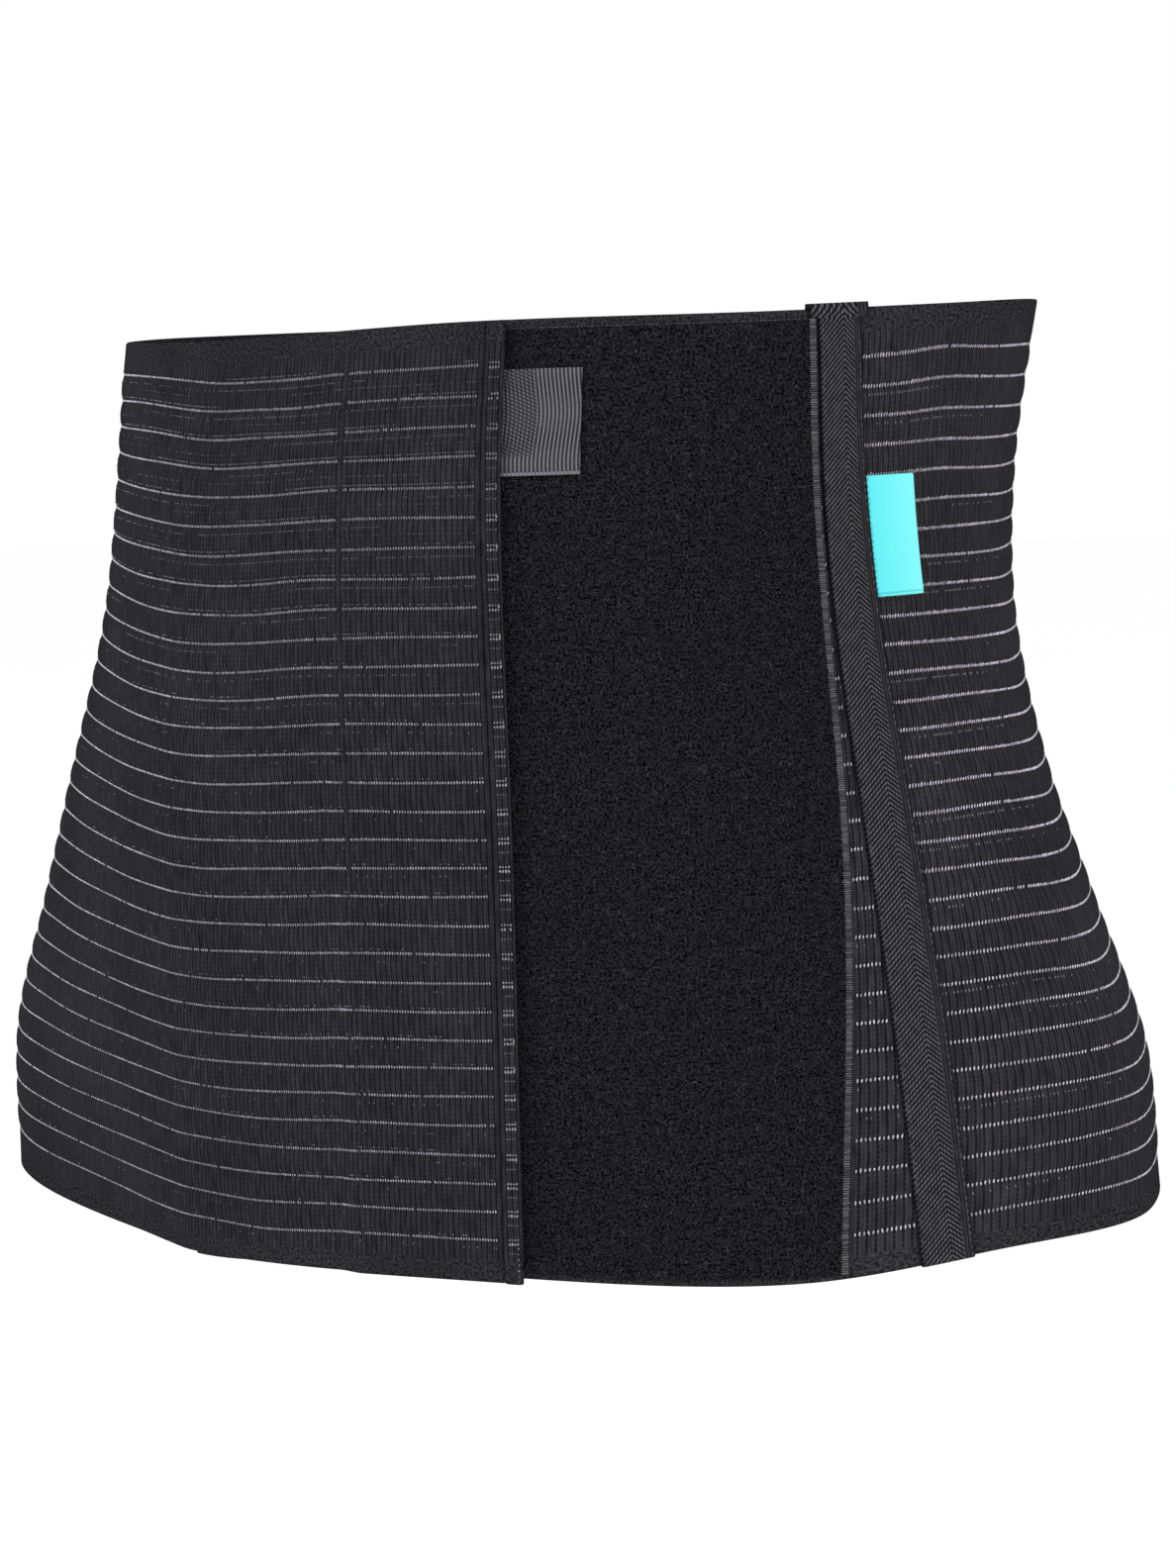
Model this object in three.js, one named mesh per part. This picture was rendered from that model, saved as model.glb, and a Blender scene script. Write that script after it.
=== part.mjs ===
// Abdominal binder: a wide ribbed elastic band, closed at the front by a hook flap that lies on a
// fleece landing panel, with a slanting side stay under herringbone tape.
//
// Millimetres. +Z is up, the front faces -Y and the wearer's left is +X. The origin is the middle of
// the hollow that the waist fills, at half the band's height.
//
// Every piece is a slab of cloth laid on one form. A place on the form is an angle round the waist
// (0 at the front, growing towards the wearer's left), a share of the height, and a distance out
// from the band's outer face.

import * as THREE from 'three';

// Driving dimensions
const BAND_HEIGHT = 280;
const WAIST_HALF_WIDTH = 144;
const HIP_HALF_WIDTH = 197;
const FRONT_DEPTH = 130;
const BACK_DEPTH = 144;
const SIDE_SHIFT = 13.5;
const BACK_FULLNESS = 0.04;
const EDGE_WAVE = 3;
const EDGE_WAVE_REACH = 45;

const ELASTIC_THICKNESS = 1.8;
const FLEECE_THICKNESS = 1.6;
const HOOK_THICKNESS = 1.4;
const WEBBING_THICKNESS = 1.4;
const TAPE_THICKNESS = 1.2;
const LABEL_THICKNESS = 1.0;
const LAYER_GAP = 0.35;

const HEM_WIDTH = 5;
const HEM_RISE = 0.8;
const HEM_GROOVE = 0.6;
const RAMP_LENGTH = 40;
const FLAP_REACH = 31.5;
const OVERLAP = 119;
const FLEECE_SHOWN = 99.5;
const HOOK_WIDTH = 49;
const HOOK_RAMP = 8;
const HOOK_INSET = 2;
const UNDER_DROP = 2.3;
const UNDER_DROP_REACH = 55;
const FLEECE_MARGIN_TOP = 3;
const FLEECE_MARGIN_BOTTOM = 2.4;
const FLEECE_SETBACK = 2.5;

const TAB_WIDTH = 22;
const TAB_HEIGHT = 29.5;
const TAB_TOP = 14;
const TAB_CLEARANCE = 1.5;

const STAY_LEAN = 24;
const TAPE_WIDTH = 17;
const TAPE_FOLD_LENGTH = 8;
const TAPE_CAP_HEIGHT = 3;
const TAPE_CAP_EXTRA = 2.6;
const LABEL_WIDTH = 17;
const LABEL_HEIGHT = 36;
const LABEL_TOP = 48;

const ROWS = 14;
const TRIM_COLUMNS = 3;
const WALK_STEPS = 720;
const FULL_TURN = 2 * Math.PI;

// Sections of the form from the bottom edge to the top edge. up is a share of BAND_HEIGHT, flare
// runs from the waist's half width (0) to the hips' (1), front and back are shares of the two
// depths, shift of SIDE_SHIFT. full_right and full_left fill or slope the front's corners.
const SECTIONS = [
  { up: 0 / 6, flare: 1.00, front: 1.000, back: 0.93, shift: -0.30, full_right: -0.09, full_left: -0.055 },
  { up: 1 / 6, flare: 0.93, front: 1.000, back: 1.00, shift: -0.37, full_right: -0.08, full_left: -0.080 },
  { up: 2 / 6, flare: 0.64, front: 1.000, back: 0.91, shift: -0.37, full_right: -0.06, full_left: -0.090 },
  { up: 3 / 6, flare: 0.34, front: 1.000, back: 0.79, shift: -0.30, full_right: -0.03, full_left: -0.090 },
  { up: 4 / 6, flare: 0.10, front: 0.990, back: 0.73, shift: 0.00, full_right: 0.00, full_left: -0.075 },
  { up: 5 / 6, flare: 0.00, front: 0.945, back: 0.73, shift: 0.45, full_right: 0.045, full_left: -0.045 },
  { up: 6 / 6, flare: 0.01, front: 0.840, back: 0.74, shift: 1.00, full_right: 0.09, full_left: -0.005 },
];

// How far the two edges ride up or down round the waist, as shares of EDGE_WAVE
const EDGE_WAVES = [
  { degrees: -180, top: 0.0, bottom: 0.0 },
  { degrees: -90, top: -0.3, bottom: 0.0 },
  { degrees: -33, top: -0.8, bottom: -0.3 },
  { degrees: 2, top: 0.2, bottom: 0.8 },
  { degrees: 36, top: 0.2, bottom: -1.0 },
  { degrees: 62, top: 0.4, bottom: 0.3 },
  { degrees: 90, top: 0.6, bottom: -0.3 },
  { degrees: 180, top: 0.0, bottom: 0.0 },
];

// Upright lines on the cloth. The flap's end lies FLAP_REACH round the front from the middle plane,
// and each other line lies a width away from the line that it follows. The last three columns are
// shares of that width at the bottom edge, at half height and at the top edge.
const LINES = {
  flap_end: { width: FLAP_REACH, share_low: 0.985, share_mid: 1.0, share_high: 0.95 },
  under_end: { follows: 'flap_end', width: -OVERLAP, share_low: 1.0, share_mid: 0.987, share_high: 0.85 },
  fleece_end: { follows: 'flap_end', width: FLEECE_SHOWN, share_low: 0.945, share_mid: 1.0, share_high: 0.88 },
  tape_start: { follows: 'fleece_end', width: STAY_LEAN, share_low: 1.0, share_mid: 0.23, share_high: 0.07 },
  tape_end: { follows: 'tape_start', width: TAPE_WIDTH, share_low: 1.0, share_mid: 0.97, share_high: 0.77 },
};

function smoothstep(x, from, to) {
  const share = Math.min(1, Math.max(0, (x - from) / (to - from)));
  return share * share * (3 - 2 * share);
}

// Stretched cloth that leaves one layer along its tangent and meets the edge of the next
function taut(x, from, to) {
  return Math.min(1, Math.max(0, (x - from) / (to - from))) ** 2;
}

// Smooth curve through a table's rows, read at the value x of the column key
function alongTable(table, key, column, x) {
  const last = table.length - 1;
  let row = 0;
  while (row < last - 1 && x > table[row + 1][key]) row += 1;
  const slope = (i) => {
    const low = table[Math.max(0, i - 1)];
    const high = table[Math.min(last, i + 1)];
    return (high[column] - low[column]) / (high[key] - low[key]);
  };
  const span = table[row + 1][key] - table[row][key];
  const u = Math.min(1.1, Math.max(-0.1, (x - table[row][key]) / span));
  const start = (1 + 2 * u) * (1 - u) ** 2 * table[row][column];
  const end = u * u * (3 - 2 * u) * table[row + 1][column];
  const bend = u * (1 - u) ** 2 * slope(row) - u * u * (1 - u) * slope(row + 1);
  return start + end + bend * span;
}

// The form's section at a share of the height, with its columns in millimetres
function sectionAt(up) {
  const column = (name) => alongTable(SECTIONS, 'up', name, up);
  return {
    halfWidth: WAIST_HALF_WIDTH + (HIP_HALF_WIDTH - WAIST_HALF_WIDTH) * column('flare'),
    front: FRONT_DEPTH * column('front'),
    back: BACK_DEPTH * column('back'),
    shift: SIDE_SHIFT * column('shift'),
    fullRight: column('full_right'),
    fullLeft: column('full_left'),
  };
}

function sectionPoint(section, angle) {
  const atFront = Math.cos(angle) > 0;
  const depth = atFront ? section.front : section.back;
  const frontFullness = Math.sin(angle) < 0 ? section.fullRight : section.fullLeft;
  const fullness = atFront ? frontFullness : BACK_FULLNESS;
  const reach = 1 + fullness * Math.sin(2 * angle) ** 2;
  return new THREE.Vector2(
    section.shift + section.halfWidth * Math.sin(angle) * reach,
    -depth * Math.cos(angle) * reach,
  );
}

// Angle whose place lies a length round the section from the middle plane at the front
function angleAtLength(up, length) {
  const section = sectionAt(up);
  let angle = -Math.asin(section.shift / section.halfWidth);
  const step = Math.sign(length) * (FULL_TURN / WALK_STEPS);
  let walked = 0;
  let place = sectionPoint(section, angle);
  while (walked < Math.abs(length)) {
    const next = sectionPoint(section, angle + step);
    const stride = next.distanceTo(place);
    if (walked + stride > Math.abs(length)) {
      return angle + (step * (Math.abs(length) - walked)) / stride;
    }
    walked += stride;
    angle += step;
    place = next;
  }
  return angle;
}

function lineLength(name, up) {
  const line = LINES[name];
  const table = [
    { up: 0, share: line.share_low },
    { up: 0.5, share: line.share_mid },
    { up: 1, share: line.share_high },
  ];
  const from = line.follows ? lineLength(line.follows, up) : 0;
  return from + line.width * alongTable(table, 'up', 'share', up);
}

function lineAngle(name, up, extra = 0) {
  return angleAtLength(up, lineLength(name, up) + extra);
}

function edgeWave(angle, up) {
  const turn = angle - FULL_TURN * Math.round(angle / FULL_TURN);
  const degrees = THREE.MathUtils.radToDeg(turn);
  const fromBottom = up * BAND_HEIGHT;
  const nearTop = 1 - smoothstep(BAND_HEIGHT - fromBottom, 0, EDGE_WAVE_REACH);
  const nearBottom = 1 - smoothstep(fromBottom, 0, EDGE_WAVE_REACH);
  const top = nearTop * alongTable(EDGE_WAVES, 'degrees', 'top', degrees);
  const bottom = nearBottom * alongTable(EDGE_WAVES, 'degrees', 'bottom', degrees);
  return EDGE_WAVE * (top + bottom);
}

// Place on the form: out is measured from the band's outer face, rise is added to the height
function onForm(angle, up, out, rise = 0) {
  const section = sectionAt(up);
  const nudge = 0.001;
  const place = sectionPoint(section, angle);
  const tangent = sectionPoint(section, angle + nudge).sub(sectionPoint(section, angle - nudge));
  tangent.normalize();
  return new THREE.Vector3(
    place.x + tangent.y * out,
    place.y - tangent.x * out,
    (up - 0.5) * BAND_HEIGHT + edgeWave(angle, up) + rise,
  );
}

// Closed slab of cloth: place(column, row, isOuter) gives the corners of its two faces
function slab(columns, rows, place) {
  const positions = [];
  const index = [];
  const across = rows + 1;
  const corner = (column, row, isOuter) => (isOuter ? 0 : (columns + 1) * across) + column * across + row;
  for (const isOuter of [true, false]) {
    for (let column = 0; column <= columns; column += 1) {
      for (let row = 0; row <= rows; row += 1) {
        positions.push(...place(column, row, isOuter).toArray());
      }
    }
  }
  const quad = (a, b, c, d) => index.push(a, b, c, a, c, d);
  for (let column = 0; column < columns; column += 1) {
    for (let row = 0; row < rows; row += 1) {
      const face = (isOuter) => [
        corner(column, row, isOuter),
        corner(column + 1, row, isOuter),
        corner(column + 1, row + 1, isOuter),
        corner(column, row + 1, isOuter),
      ];
      quad(...face(true));
      const [a, b, c, d] = face(false);
      quad(a, d, c, b);
    }
    quad(corner(column, 0, true), corner(column, 0, false), corner(column + 1, 0, false), corner(column + 1, 0, true));
    quad(
      corner(column + 1, rows, true),
      corner(column + 1, rows, false),
      corner(column, rows, false),
      corner(column, rows, true),
    );
  }
  for (let row = 0; row < rows; row += 1) {
    quad(corner(0, row + 1, true), corner(0, row + 1, false), corner(0, row, false), corner(0, row, true));
    quad(
      corner(columns, row, true),
      corner(columns, row, false),
      corner(columns, row + 1, false),
      corner(columns, row + 1, true),
    );
  }
  const geometry = new THREE.BufferGeometry();
  geometry.setAttribute('position', new THREE.Float32BufferAttribute(positions, 3));
  geometry.setIndex(index);
  geometry.computeVertexNormals();
  return geometry;
}

// Angles of a run of columns at one height: stations are [angle at up, columns up to the next]
function columnAngles(stations, up) {
  const angles = [stations[0].angle(up)];
  for (let i = 0; i + 1 < stations.length; i += 1) {
    const from = stations[i].angle(up);
    const to = stations[i + 1].angle(up);
    for (let k = 1; k <= stations[i].columns; k += 1) {
      angles.push(from + ((to - from) * k) / stations[i].columns);
    }
  }
  return angles;
}

function countColumns(stations) {
  return stations.slice(0, -1).reduce((sum, station) => sum + station.columns, 0);
}

// How far out each layer's inner face lies
const fleeceOut = LAYER_GAP;
const fleeceTop = fleeceOut + FLEECE_THICKNESS;
const hookOut = fleeceTop + LAYER_GAP;
const hookTop = hookOut + HOOK_THICKNESS;
const tabTop = hookOut + WEBBING_THICKNESS;
const flapOnFleece = hookOut;
const flapOnHook = Math.max(hookTop, tabTop) + LAYER_GAP;

// How far the under end has slipped below the flap, at an angle on the under layer
function underSlip(angle, up) {
  const start = lineAngle('under_end', up);
  const end = lineAngle('under_end', up, UNDER_DROP_REACH);
  return -UNDER_DROP * (1 - smoothstep(angle, start, end));
}

// Heights of the rows that every full-height layer shares, so that their facets lie face to face
function rowShares() {
  const shares = [0, FLEECE_MARGIN_BOTTOM / BAND_HEIGHT];
  for (let row = 1; row < ROWS; row += 1) shares.push(row / ROWS);
  shares.push(1 - FLEECE_MARGIN_TOP / BAND_HEIGHT, 1);
  return shares;
}

// Stations that the layers of the front share, from the under end to the fleece's free edge
function frontStations(turn) {
  const line = (name, extra = 0) => (up) => turn + lineAngle(name, up, extra);
  return {
    underEnd: { angle: line('under_end'), columns: 1 },
    fleeceStart: { angle: line('under_end', FLEECE_SETBACK), columns: 6 },
    hookRamp: { angle: line('flap_end', -HOOK_WIDTH - HOOK_RAMP), columns: 1 },
    hookStart: { angle: line('flap_end', -HOOK_WIDTH), columns: 4 },
    hookEnd: { angle: line('flap_end', -HEM_WIDTH - HOOK_INSET), columns: 1 },
    hemGroove: { angle: line('flap_end', -HEM_WIDTH - HEM_GROOVE), columns: 1 },
    hem: { angle: line('flap_end', -HEM_WIDTH), columns: 1 },
    flapEnd: { angle: line('flap_end'), columns: 8 },
    fleeceEnd: { angle: line('fleece_end'), columns: 1 },
  };
}

function elasticWrap() {
  const under = frontStations(0);
  const flap = frontStations(FULL_TURN);
  const line = (name, extra = 0, turn = 0) => (up) => turn + lineAngle(name, up, extra);
  const underRun = Object.values(under);
  const sideRun = [
    { angle: line('tape_start'), columns: TRIM_COLUMNS },
    { angle: line('tape_end'), columns: TRIM_COLUMNS },
    { angle: line('tape_end', LABEL_WIDTH), columns: 42 },
  ];
  const rampStart = { angle: line('under_end', -RAMP_LENGTH, FULL_TURN), columns: 6 };
  const rampEnd = { angle: line('under_end', -LAYER_GAP, FULL_TURN), columns: 1 };
  const flapRun = Object.values(flap).slice(0, -1);
  const stations = [...underRun, ...sideRun, rampStart, rampEnd, ...flapRun];
  const columnOf = (station) => countColumns(stations.slice(0, stations.indexOf(station) + 1));

  const shares = rowShares();
  const angles = shares.map((up) => columnAngles(stations, up));
  const [rampFrom, rampTo] = [columnOf(rampStart), columnOf(rampEnd)];
  const [hookFrom, hookTo] = [columnOf(flap.hookRamp), columnOf(flap.hookStart)];
  const hemFrom = columnOf(flap.hem);
  return slab(countColumns(stations), shares.length - 1, (column, row, isOuter) => {
    const up = shares[row];
    const angle = angles[row][column];
    const onFleece = (ELASTIC_THICKNESS + flapOnFleece) * taut(column, rampFrom, rampTo);
    const onHook = (flapOnHook - flapOnFleece) * smoothstep(column, hookFrom, hookTo);
    const inner = -ELASTIC_THICKNESS + onFleece + onHook;
    const hem = column >= hemFrom ? HEM_RISE : 0;
    const slip = column < rampFrom ? underSlip(angle, up) : 0;
    return onForm(angle, up, isOuter ? inner + ELASTIC_THICKNESS + hem : inner, slip);
  });
}

function loopPanel() {
  const stations = Object.values(frontStations(0)).slice(1);
  const shares = rowShares().slice(1, -1);
  const angles = shares.map((up) => columnAngles(stations, up));
  return slab(countColumns(stations), shares.length - 1, (column, row, isOuter) => {
    const angle = angles[row][column];
    return onForm(angle, shares[row], isOuter ? fleeceTop : fleeceOut, underSlip(angle, shares[row]));
  });
}

function hookStrip() {
  const { hookStart, hookEnd } = frontStations(0);
  const shares = rowShares().slice(1, -1);
  const angles = shares.map((up) => columnAngles([hookStart, hookEnd], up));
  return slab(hookStart.columns, shares.length - 1, (column, row, isOuter) => (
    onForm(angles[row][column], shares[row], isOuter ? hookTop : hookOut)
  ));
}

function pullTab() {
  const columns = 6;
  const rows = 3;
  const top = 1 - TAB_TOP / BAND_HEIGHT;
  const bottom = top - TAB_HEIGHT / BAND_HEIGHT;
  const tuck = HEM_WIDTH + HOOK_INSET - TAB_CLEARANCE;
  return slab(columns, rows, (column, row, isOuter) => {
    const up = bottom + ((top - bottom) * row) / rows;
    const extra = -tuck + ((tuck + TAB_WIDTH) * column) / columns;
    return onForm(lineAngle('flap_end', up, extra), up, isOuter ? tabTop : hookOut);
  });
}

// The tape runs up the outside of the band, over its top edge and a little way down the inside
function stayTape() {
  const columns = TRIM_COLUMNS;
  const near = LAYER_GAP;
  const far = LAYER_GAP + TAPE_THICKNESS;
  const behindNear = -ELASTIC_THICKNESS - near;
  const behindFar = -ELASTIC_THICKNESS - far;
  const capShare = TAPE_CAP_HEIGHT / BAND_HEIGHT;
  const foldShare = TAPE_FOLD_LENGTH / BAND_HEIGHT;
  const path = [];
  const outside = { outer: [far, 0], inner: [near, 0] };
  const below = rowShares().filter((up) => up < 1 - capShare);
  for (const up of below) path.push({ up, ...outside, extra: 0 });
  path.push({ up: 1 - capShare, ...outside, extra: 0 });
  path.push({ up: 1 - capShare / 2, ...outside, extra: TAPE_CAP_EXTRA });
  path.push({ up: 1, outer: [far, far], inner: [near, near], extra: TAPE_CAP_EXTRA });
  path.push({ up: 1, outer: [behindFar, far], inner: [behindNear, near], extra: TAPE_CAP_EXTRA });
  path.push({ up: 1 - foldShare / 2, outer: [behindFar, 0], inner: [behindNear, 0], extra: TAPE_CAP_EXTRA });
  path.push({ up: 1 - foldShare, outer: [behindFar, 0], inner: [behindNear, 0], extra: TAPE_CAP_EXTRA });
  return slab(columns, path.length - 1, (column, row, isOuter) => {
    const { up, outer, inner, extra } = path[row];
    const from = lineAngle('tape_start', up, -extra);
    const to = lineAngle('tape_end', up, extra);
    const [out, rise] = isOuter ? outer : inner;
    return onForm(from + ((to - from) * column) / columns, up, out, rise);
  });
}

function sideLabel() {
  const columns = TRIM_COLUMNS;
  const rows = 3;
  const top = 1 - LABEL_TOP / BAND_HEIGHT;
  const bottom = top - LABEL_HEIGHT / BAND_HEIGHT;
  return slab(columns, rows, (column, row, isOuter) => {
    const up = bottom + ((top - bottom) * row) / rows;
    const extra = LAYER_GAP + (LABEL_WIDTH * column) / columns;
    return onForm(lineAngle('tape_end', up, extra), up, LAYER_GAP + (isOuter ? LABEL_THICKNESS : 0));
  });
}

function cloth(name, geometry, color, roughness) {
  const mesh = new THREE.Mesh(geometry, new THREE.MeshStandardMaterial({ color, roughness, metalness: 0 }));
  mesh.name = name;
  return mesh;
}

const binder = new THREE.Group();
binder.add(cloth('elastic_wrap', elasticWrap(), 0x2b2b2e, 0.85));
binder.add(cloth('loop_panel', loopPanel(), 0x121214, 1.0));
binder.add(cloth('hook_strip', hookStrip(), 0x1c1c1e, 0.7));
binder.add(cloth('pull_tab', pullTab(), 0x707276, 0.6));
binder.add(cloth('stay_tape', stayTape(), 0x26262a, 0.8));
binder.add(cloth('side_label', sideLabel(), 0x16b8b4, 0.5));

export default binder;
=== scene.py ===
# %% [markdown]
# # An elastic abdominal binder, dressed for a photograph
#
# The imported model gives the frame: plain solids of cloth, in metres, with +Z up and the front
# towards -Y. Each cell below lays finer cloth, threads and pile on the same form. Lengths are
# written in millimetres and become metres where a mesh is made.

import math

import bpy
import numpy as np
from mathutils import Matrix


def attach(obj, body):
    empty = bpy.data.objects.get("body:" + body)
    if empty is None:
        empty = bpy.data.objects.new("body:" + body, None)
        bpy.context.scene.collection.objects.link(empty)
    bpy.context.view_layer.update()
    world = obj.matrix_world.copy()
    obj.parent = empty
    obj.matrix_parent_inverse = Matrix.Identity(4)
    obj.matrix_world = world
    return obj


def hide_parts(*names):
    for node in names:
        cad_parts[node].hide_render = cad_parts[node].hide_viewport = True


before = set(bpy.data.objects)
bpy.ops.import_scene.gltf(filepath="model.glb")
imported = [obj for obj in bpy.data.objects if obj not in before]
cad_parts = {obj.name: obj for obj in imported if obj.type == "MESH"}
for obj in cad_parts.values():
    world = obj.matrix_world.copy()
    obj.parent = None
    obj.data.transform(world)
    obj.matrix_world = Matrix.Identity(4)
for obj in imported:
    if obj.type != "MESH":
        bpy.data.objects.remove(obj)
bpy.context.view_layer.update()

# %% [markdown]
# ## The form
#
# The cloth follows a torso, so every height has its own closed section. A short table gives the
# section at seven heights, as shares of a few sizes, and a smooth curve runs through its rows.

# %% Sizes of the form
BAND_HEIGHT = 280.0
WAIST_HALF_WIDTH = 144.0
HIP_HALF_WIDTH = 197.0
FRONT_DEPTH = 130.0
BACK_DEPTH = 144.0
SIDE_SHIFT = 13.5
BACK_FULLNESS = 0.04
EDGE_WAVE = 3.0
EDGE_WAVE_REACH = 45.0

# Columns: up, flare, front, back, shift, full_right, full_left
SECTIONS = np.array([
    [0 / 6, 1.00, 1.000, 0.93, -0.30, -0.09, -0.055],
    [1 / 6, 0.93, 1.000, 1.00, -0.37, -0.08, -0.080],
    [2 / 6, 0.64, 1.000, 0.91, -0.37, -0.06, -0.090],
    [3 / 6, 0.34, 1.000, 0.79, -0.30, -0.03, -0.090],
    [4 / 6, 0.10, 0.990, 0.73, 0.00, 0.00, -0.075],
    [5 / 6, 0.00, 0.945, 0.73, 0.45, 0.045, -0.045],
    [6 / 6, 0.01, 0.840, 0.74, 1.00, 0.09, -0.005],
])

# Columns: degrees round the waist, wave of the top edge, wave of the bottom edge
EDGE_WAVES = np.array([
    [-180.0, 0.0, 0.0],
    [-90.0, -0.3, 0.0],
    [-33.0, -0.8, -0.3],
    [2.0, 0.2, 0.8],
    [36.0, 0.2, -1.0],
    [62.0, 0.4, 0.3],
    [90.0, 0.6, -0.3],
    [180.0, 0.0, 0.0],
])
print("form sections", len(SECTIONS), "edge wave rows", len(EDGE_WAVES))


# %% [markdown]
# A cubic curve through the rows keeps the form smooth. Its slope at a row is that of the line
# between the two neighbours.

# %% Curves through tables
def along_table(table, column, x):
    """Smooth curve through one column of a table, read at the values x of its first column."""
    keys = table[:, 0]
    values = table[:, column]
    slopes = np.empty(len(keys))
    slopes[1:-1] = (values[2:] - values[:-2]) / (keys[2:] - keys[:-2])
    slopes[0] = (values[1] - values[0]) / (keys[1] - keys[0])
    slopes[-1] = (values[-1] - values[-2]) / (keys[-1] - keys[-2])
    row = np.clip(np.searchsorted(keys, x) - 1, 0, len(keys) - 2)
    span = keys[row + 1] - keys[row]
    u = np.clip((x - keys[row]) / span, -0.1, 1.1)
    start = (1 + 2 * u) * (1 - u) ** 2 * values[row]
    end = u * u * (3 - 2 * u) * values[row + 1]
    bend = u * (1 - u) ** 2 * slopes[row] - u * u * (1 - u) * slopes[row + 1]
    return start + end + bend * span


def smoothstep(x, start, end):
    share = np.clip((x - start) / (end - start), 0, 1)
    return share * share * (3 - 2 * share)


def half_width_at(up):
    return WAIST_HALF_WIDTH + (HIP_HALF_WIDTH - WAIST_HALF_WIDTH) * along_table(SECTIONS, 1, up)


def section_point(up, angle):
    """x and y of places on the form, with angle 0 at the front and growing towards +X."""
    at_front = np.cos(angle) > 0
    front = FRONT_DEPTH * along_table(SECTIONS, 2, up)
    back = BACK_DEPTH * along_table(SECTIONS, 3, up)
    full_right = along_table(SECTIONS, 5, up)
    full_left = along_table(SECTIONS, 6, up)
    full_front = np.where(np.sin(angle) < 0, full_right, full_left)
    fullness = np.where(at_front, full_front, BACK_FULLNESS)
    reach = 1 + fullness * np.sin(2 * angle) ** 2
    shift = SIDE_SHIFT * along_table(SECTIONS, 4, up)
    x = shift + half_width_at(up) * np.sin(angle) * reach
    y = -np.where(at_front, front, back) * np.cos(angle) * reach
    return x, y


print("waist half width", half_width_at(np.array([1.0])).round(1), "mm")

# %% [markdown]
# Lines on cloth are lengths round the body, not angles. A walk round the section at one height
# adds up the steps, and reading it backwards gives the angle that belongs to a length.

# %% Lengths round the form
WALK_ANGLES = np.linspace(-1.2 * math.pi, 3.4 * math.pi, 3001)
NUDGE = 0.001
walks = {}


def walk(up):
    """Lengths round the front at WALK_ANGLES, from the place where x is 0."""
    key = round(float(up), 6)
    if key not in walks:
        level = np.full(len(WALK_ANGLES), key)
        x, y = section_point(level, WALK_ANGLES)
        steps = np.hypot(np.diff(x), np.diff(y))
        lengths = np.concatenate([[0.0], np.cumsum(steps)])
        start = -math.asin(SIDE_SHIFT * along_table(SECTIONS, 4, key) / half_width_at(key))
        walks[key] = lengths - np.interp(start, WALK_ANGLES, lengths)
    return walks[key]


def angle_at(up, length):
    """Angle of each place, given its length round the front."""
    up = np.round(up, 6)
    angle = np.empty(up.shape)
    for level in np.unique(up):
        here = up == level
        angle[here] = np.interp(length[here], walk(level), WALK_ANGLES)
    return angle


def girth(up):
    """Length of one full turn at each height."""
    levels, back = np.unique(np.round(np.atleast_1d(up), 6), return_inverse=True)
    turns = []
    for level in levels:
        start, end = np.interp([0.0, 2 * math.pi], WALK_ANGLES, walk(level))
        turns.append(end - start)
    return np.array(turns)[back].reshape(np.shape(up))


def edge_wave(angle, up):
    turn = angle - 2 * math.pi * np.round(angle / (2 * math.pi))
    degrees = np.degrees(turn)
    from_bottom = up * BAND_HEIGHT
    near_top = 1 - smoothstep(BAND_HEIGHT - from_bottom, 0, EDGE_WAVE_REACH)
    near_bottom = 1 - smoothstep(from_bottom, 0, EDGE_WAVE_REACH)
    top = near_top * along_table(EDGE_WAVES, 1, degrees)
    bottom = near_bottom * along_table(EDGE_WAVES, 2, degrees)
    return EDGE_WAVE * (top + bottom)


def on_form(up, length, out=0.0, rise=0.0):
    """Points in mm: out is measured from the band's outer face, rise is added to the height."""
    up, length, out, rise = np.broadcast_arrays(up, length, out, rise)
    angle = angle_at(up, length)
    x, y = section_point(up, angle)
    next_x, next_y = section_point(up, angle + NUDGE)
    last_x, last_y = section_point(up, angle - NUDGE)
    run = np.hypot(next_x - last_x, next_y - last_y)
    along_x = (next_x - last_x) / run
    along_y = (next_y - last_y) / run
    z = (up - 0.5) * BAND_HEIGHT + edge_wave(angle, up) + rise
    return np.stack([x + along_y * out, y - along_x * out, z], axis=-1)


for share in (0.0, 0.5, 1.0):
    print("girth at", share, "of the height", girth(np.array([share])).round(0), "mm")

# %% [markdown]
# ## Lines and layers
#
# Each upright line lies a width away from the line that it follows. The layers lie on top of each
# other with a small gap, so nothing shares a face.

# %% Lines on the cloth
# Each line: the line that it follows, the width between them in mm, and that width's share by height
LINES = {
    "flap_end": (None, 31.5, np.array([[0, 0.985], [0.5, 1.0], [1, 0.95]])),
    "under_end": ("flap_end", -119.0, np.array([[0, 1.0], [0.5, 0.987], [1, 0.85]])),
    "fleece_end": ("flap_end", 99.5, np.array([[0, 0.945], [0.5, 1.0], [1, 0.88]])),
    "tape_start": ("fleece_end", 24.0, np.array([[0, 1.0], [0.5, 0.23], [1, 0.07]])),
    "tape_end": ("tape_start", 17.0, np.array([[0, 1.0], [0.5, 0.97], [1, 0.77]])),
}
ELASTIC_THICKNESS = 1.8
FLEECE_THICKNESS = 1.6
HOOK_THICKNESS = 1.4
WEBBING_THICKNESS = 1.4
TAPE_THICKNESS = 1.2
LABEL_THICKNESS = 1.0
LAYER_GAP = 0.35
HEM_WIDTH = 5.0
RAMP_LENGTH = 40.0
RAMP_PAST = 3.5
TAUT_TURN = 0.84
HOOK_WIDTH = 49.0
HOOK_RAMP = 8.0
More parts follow.
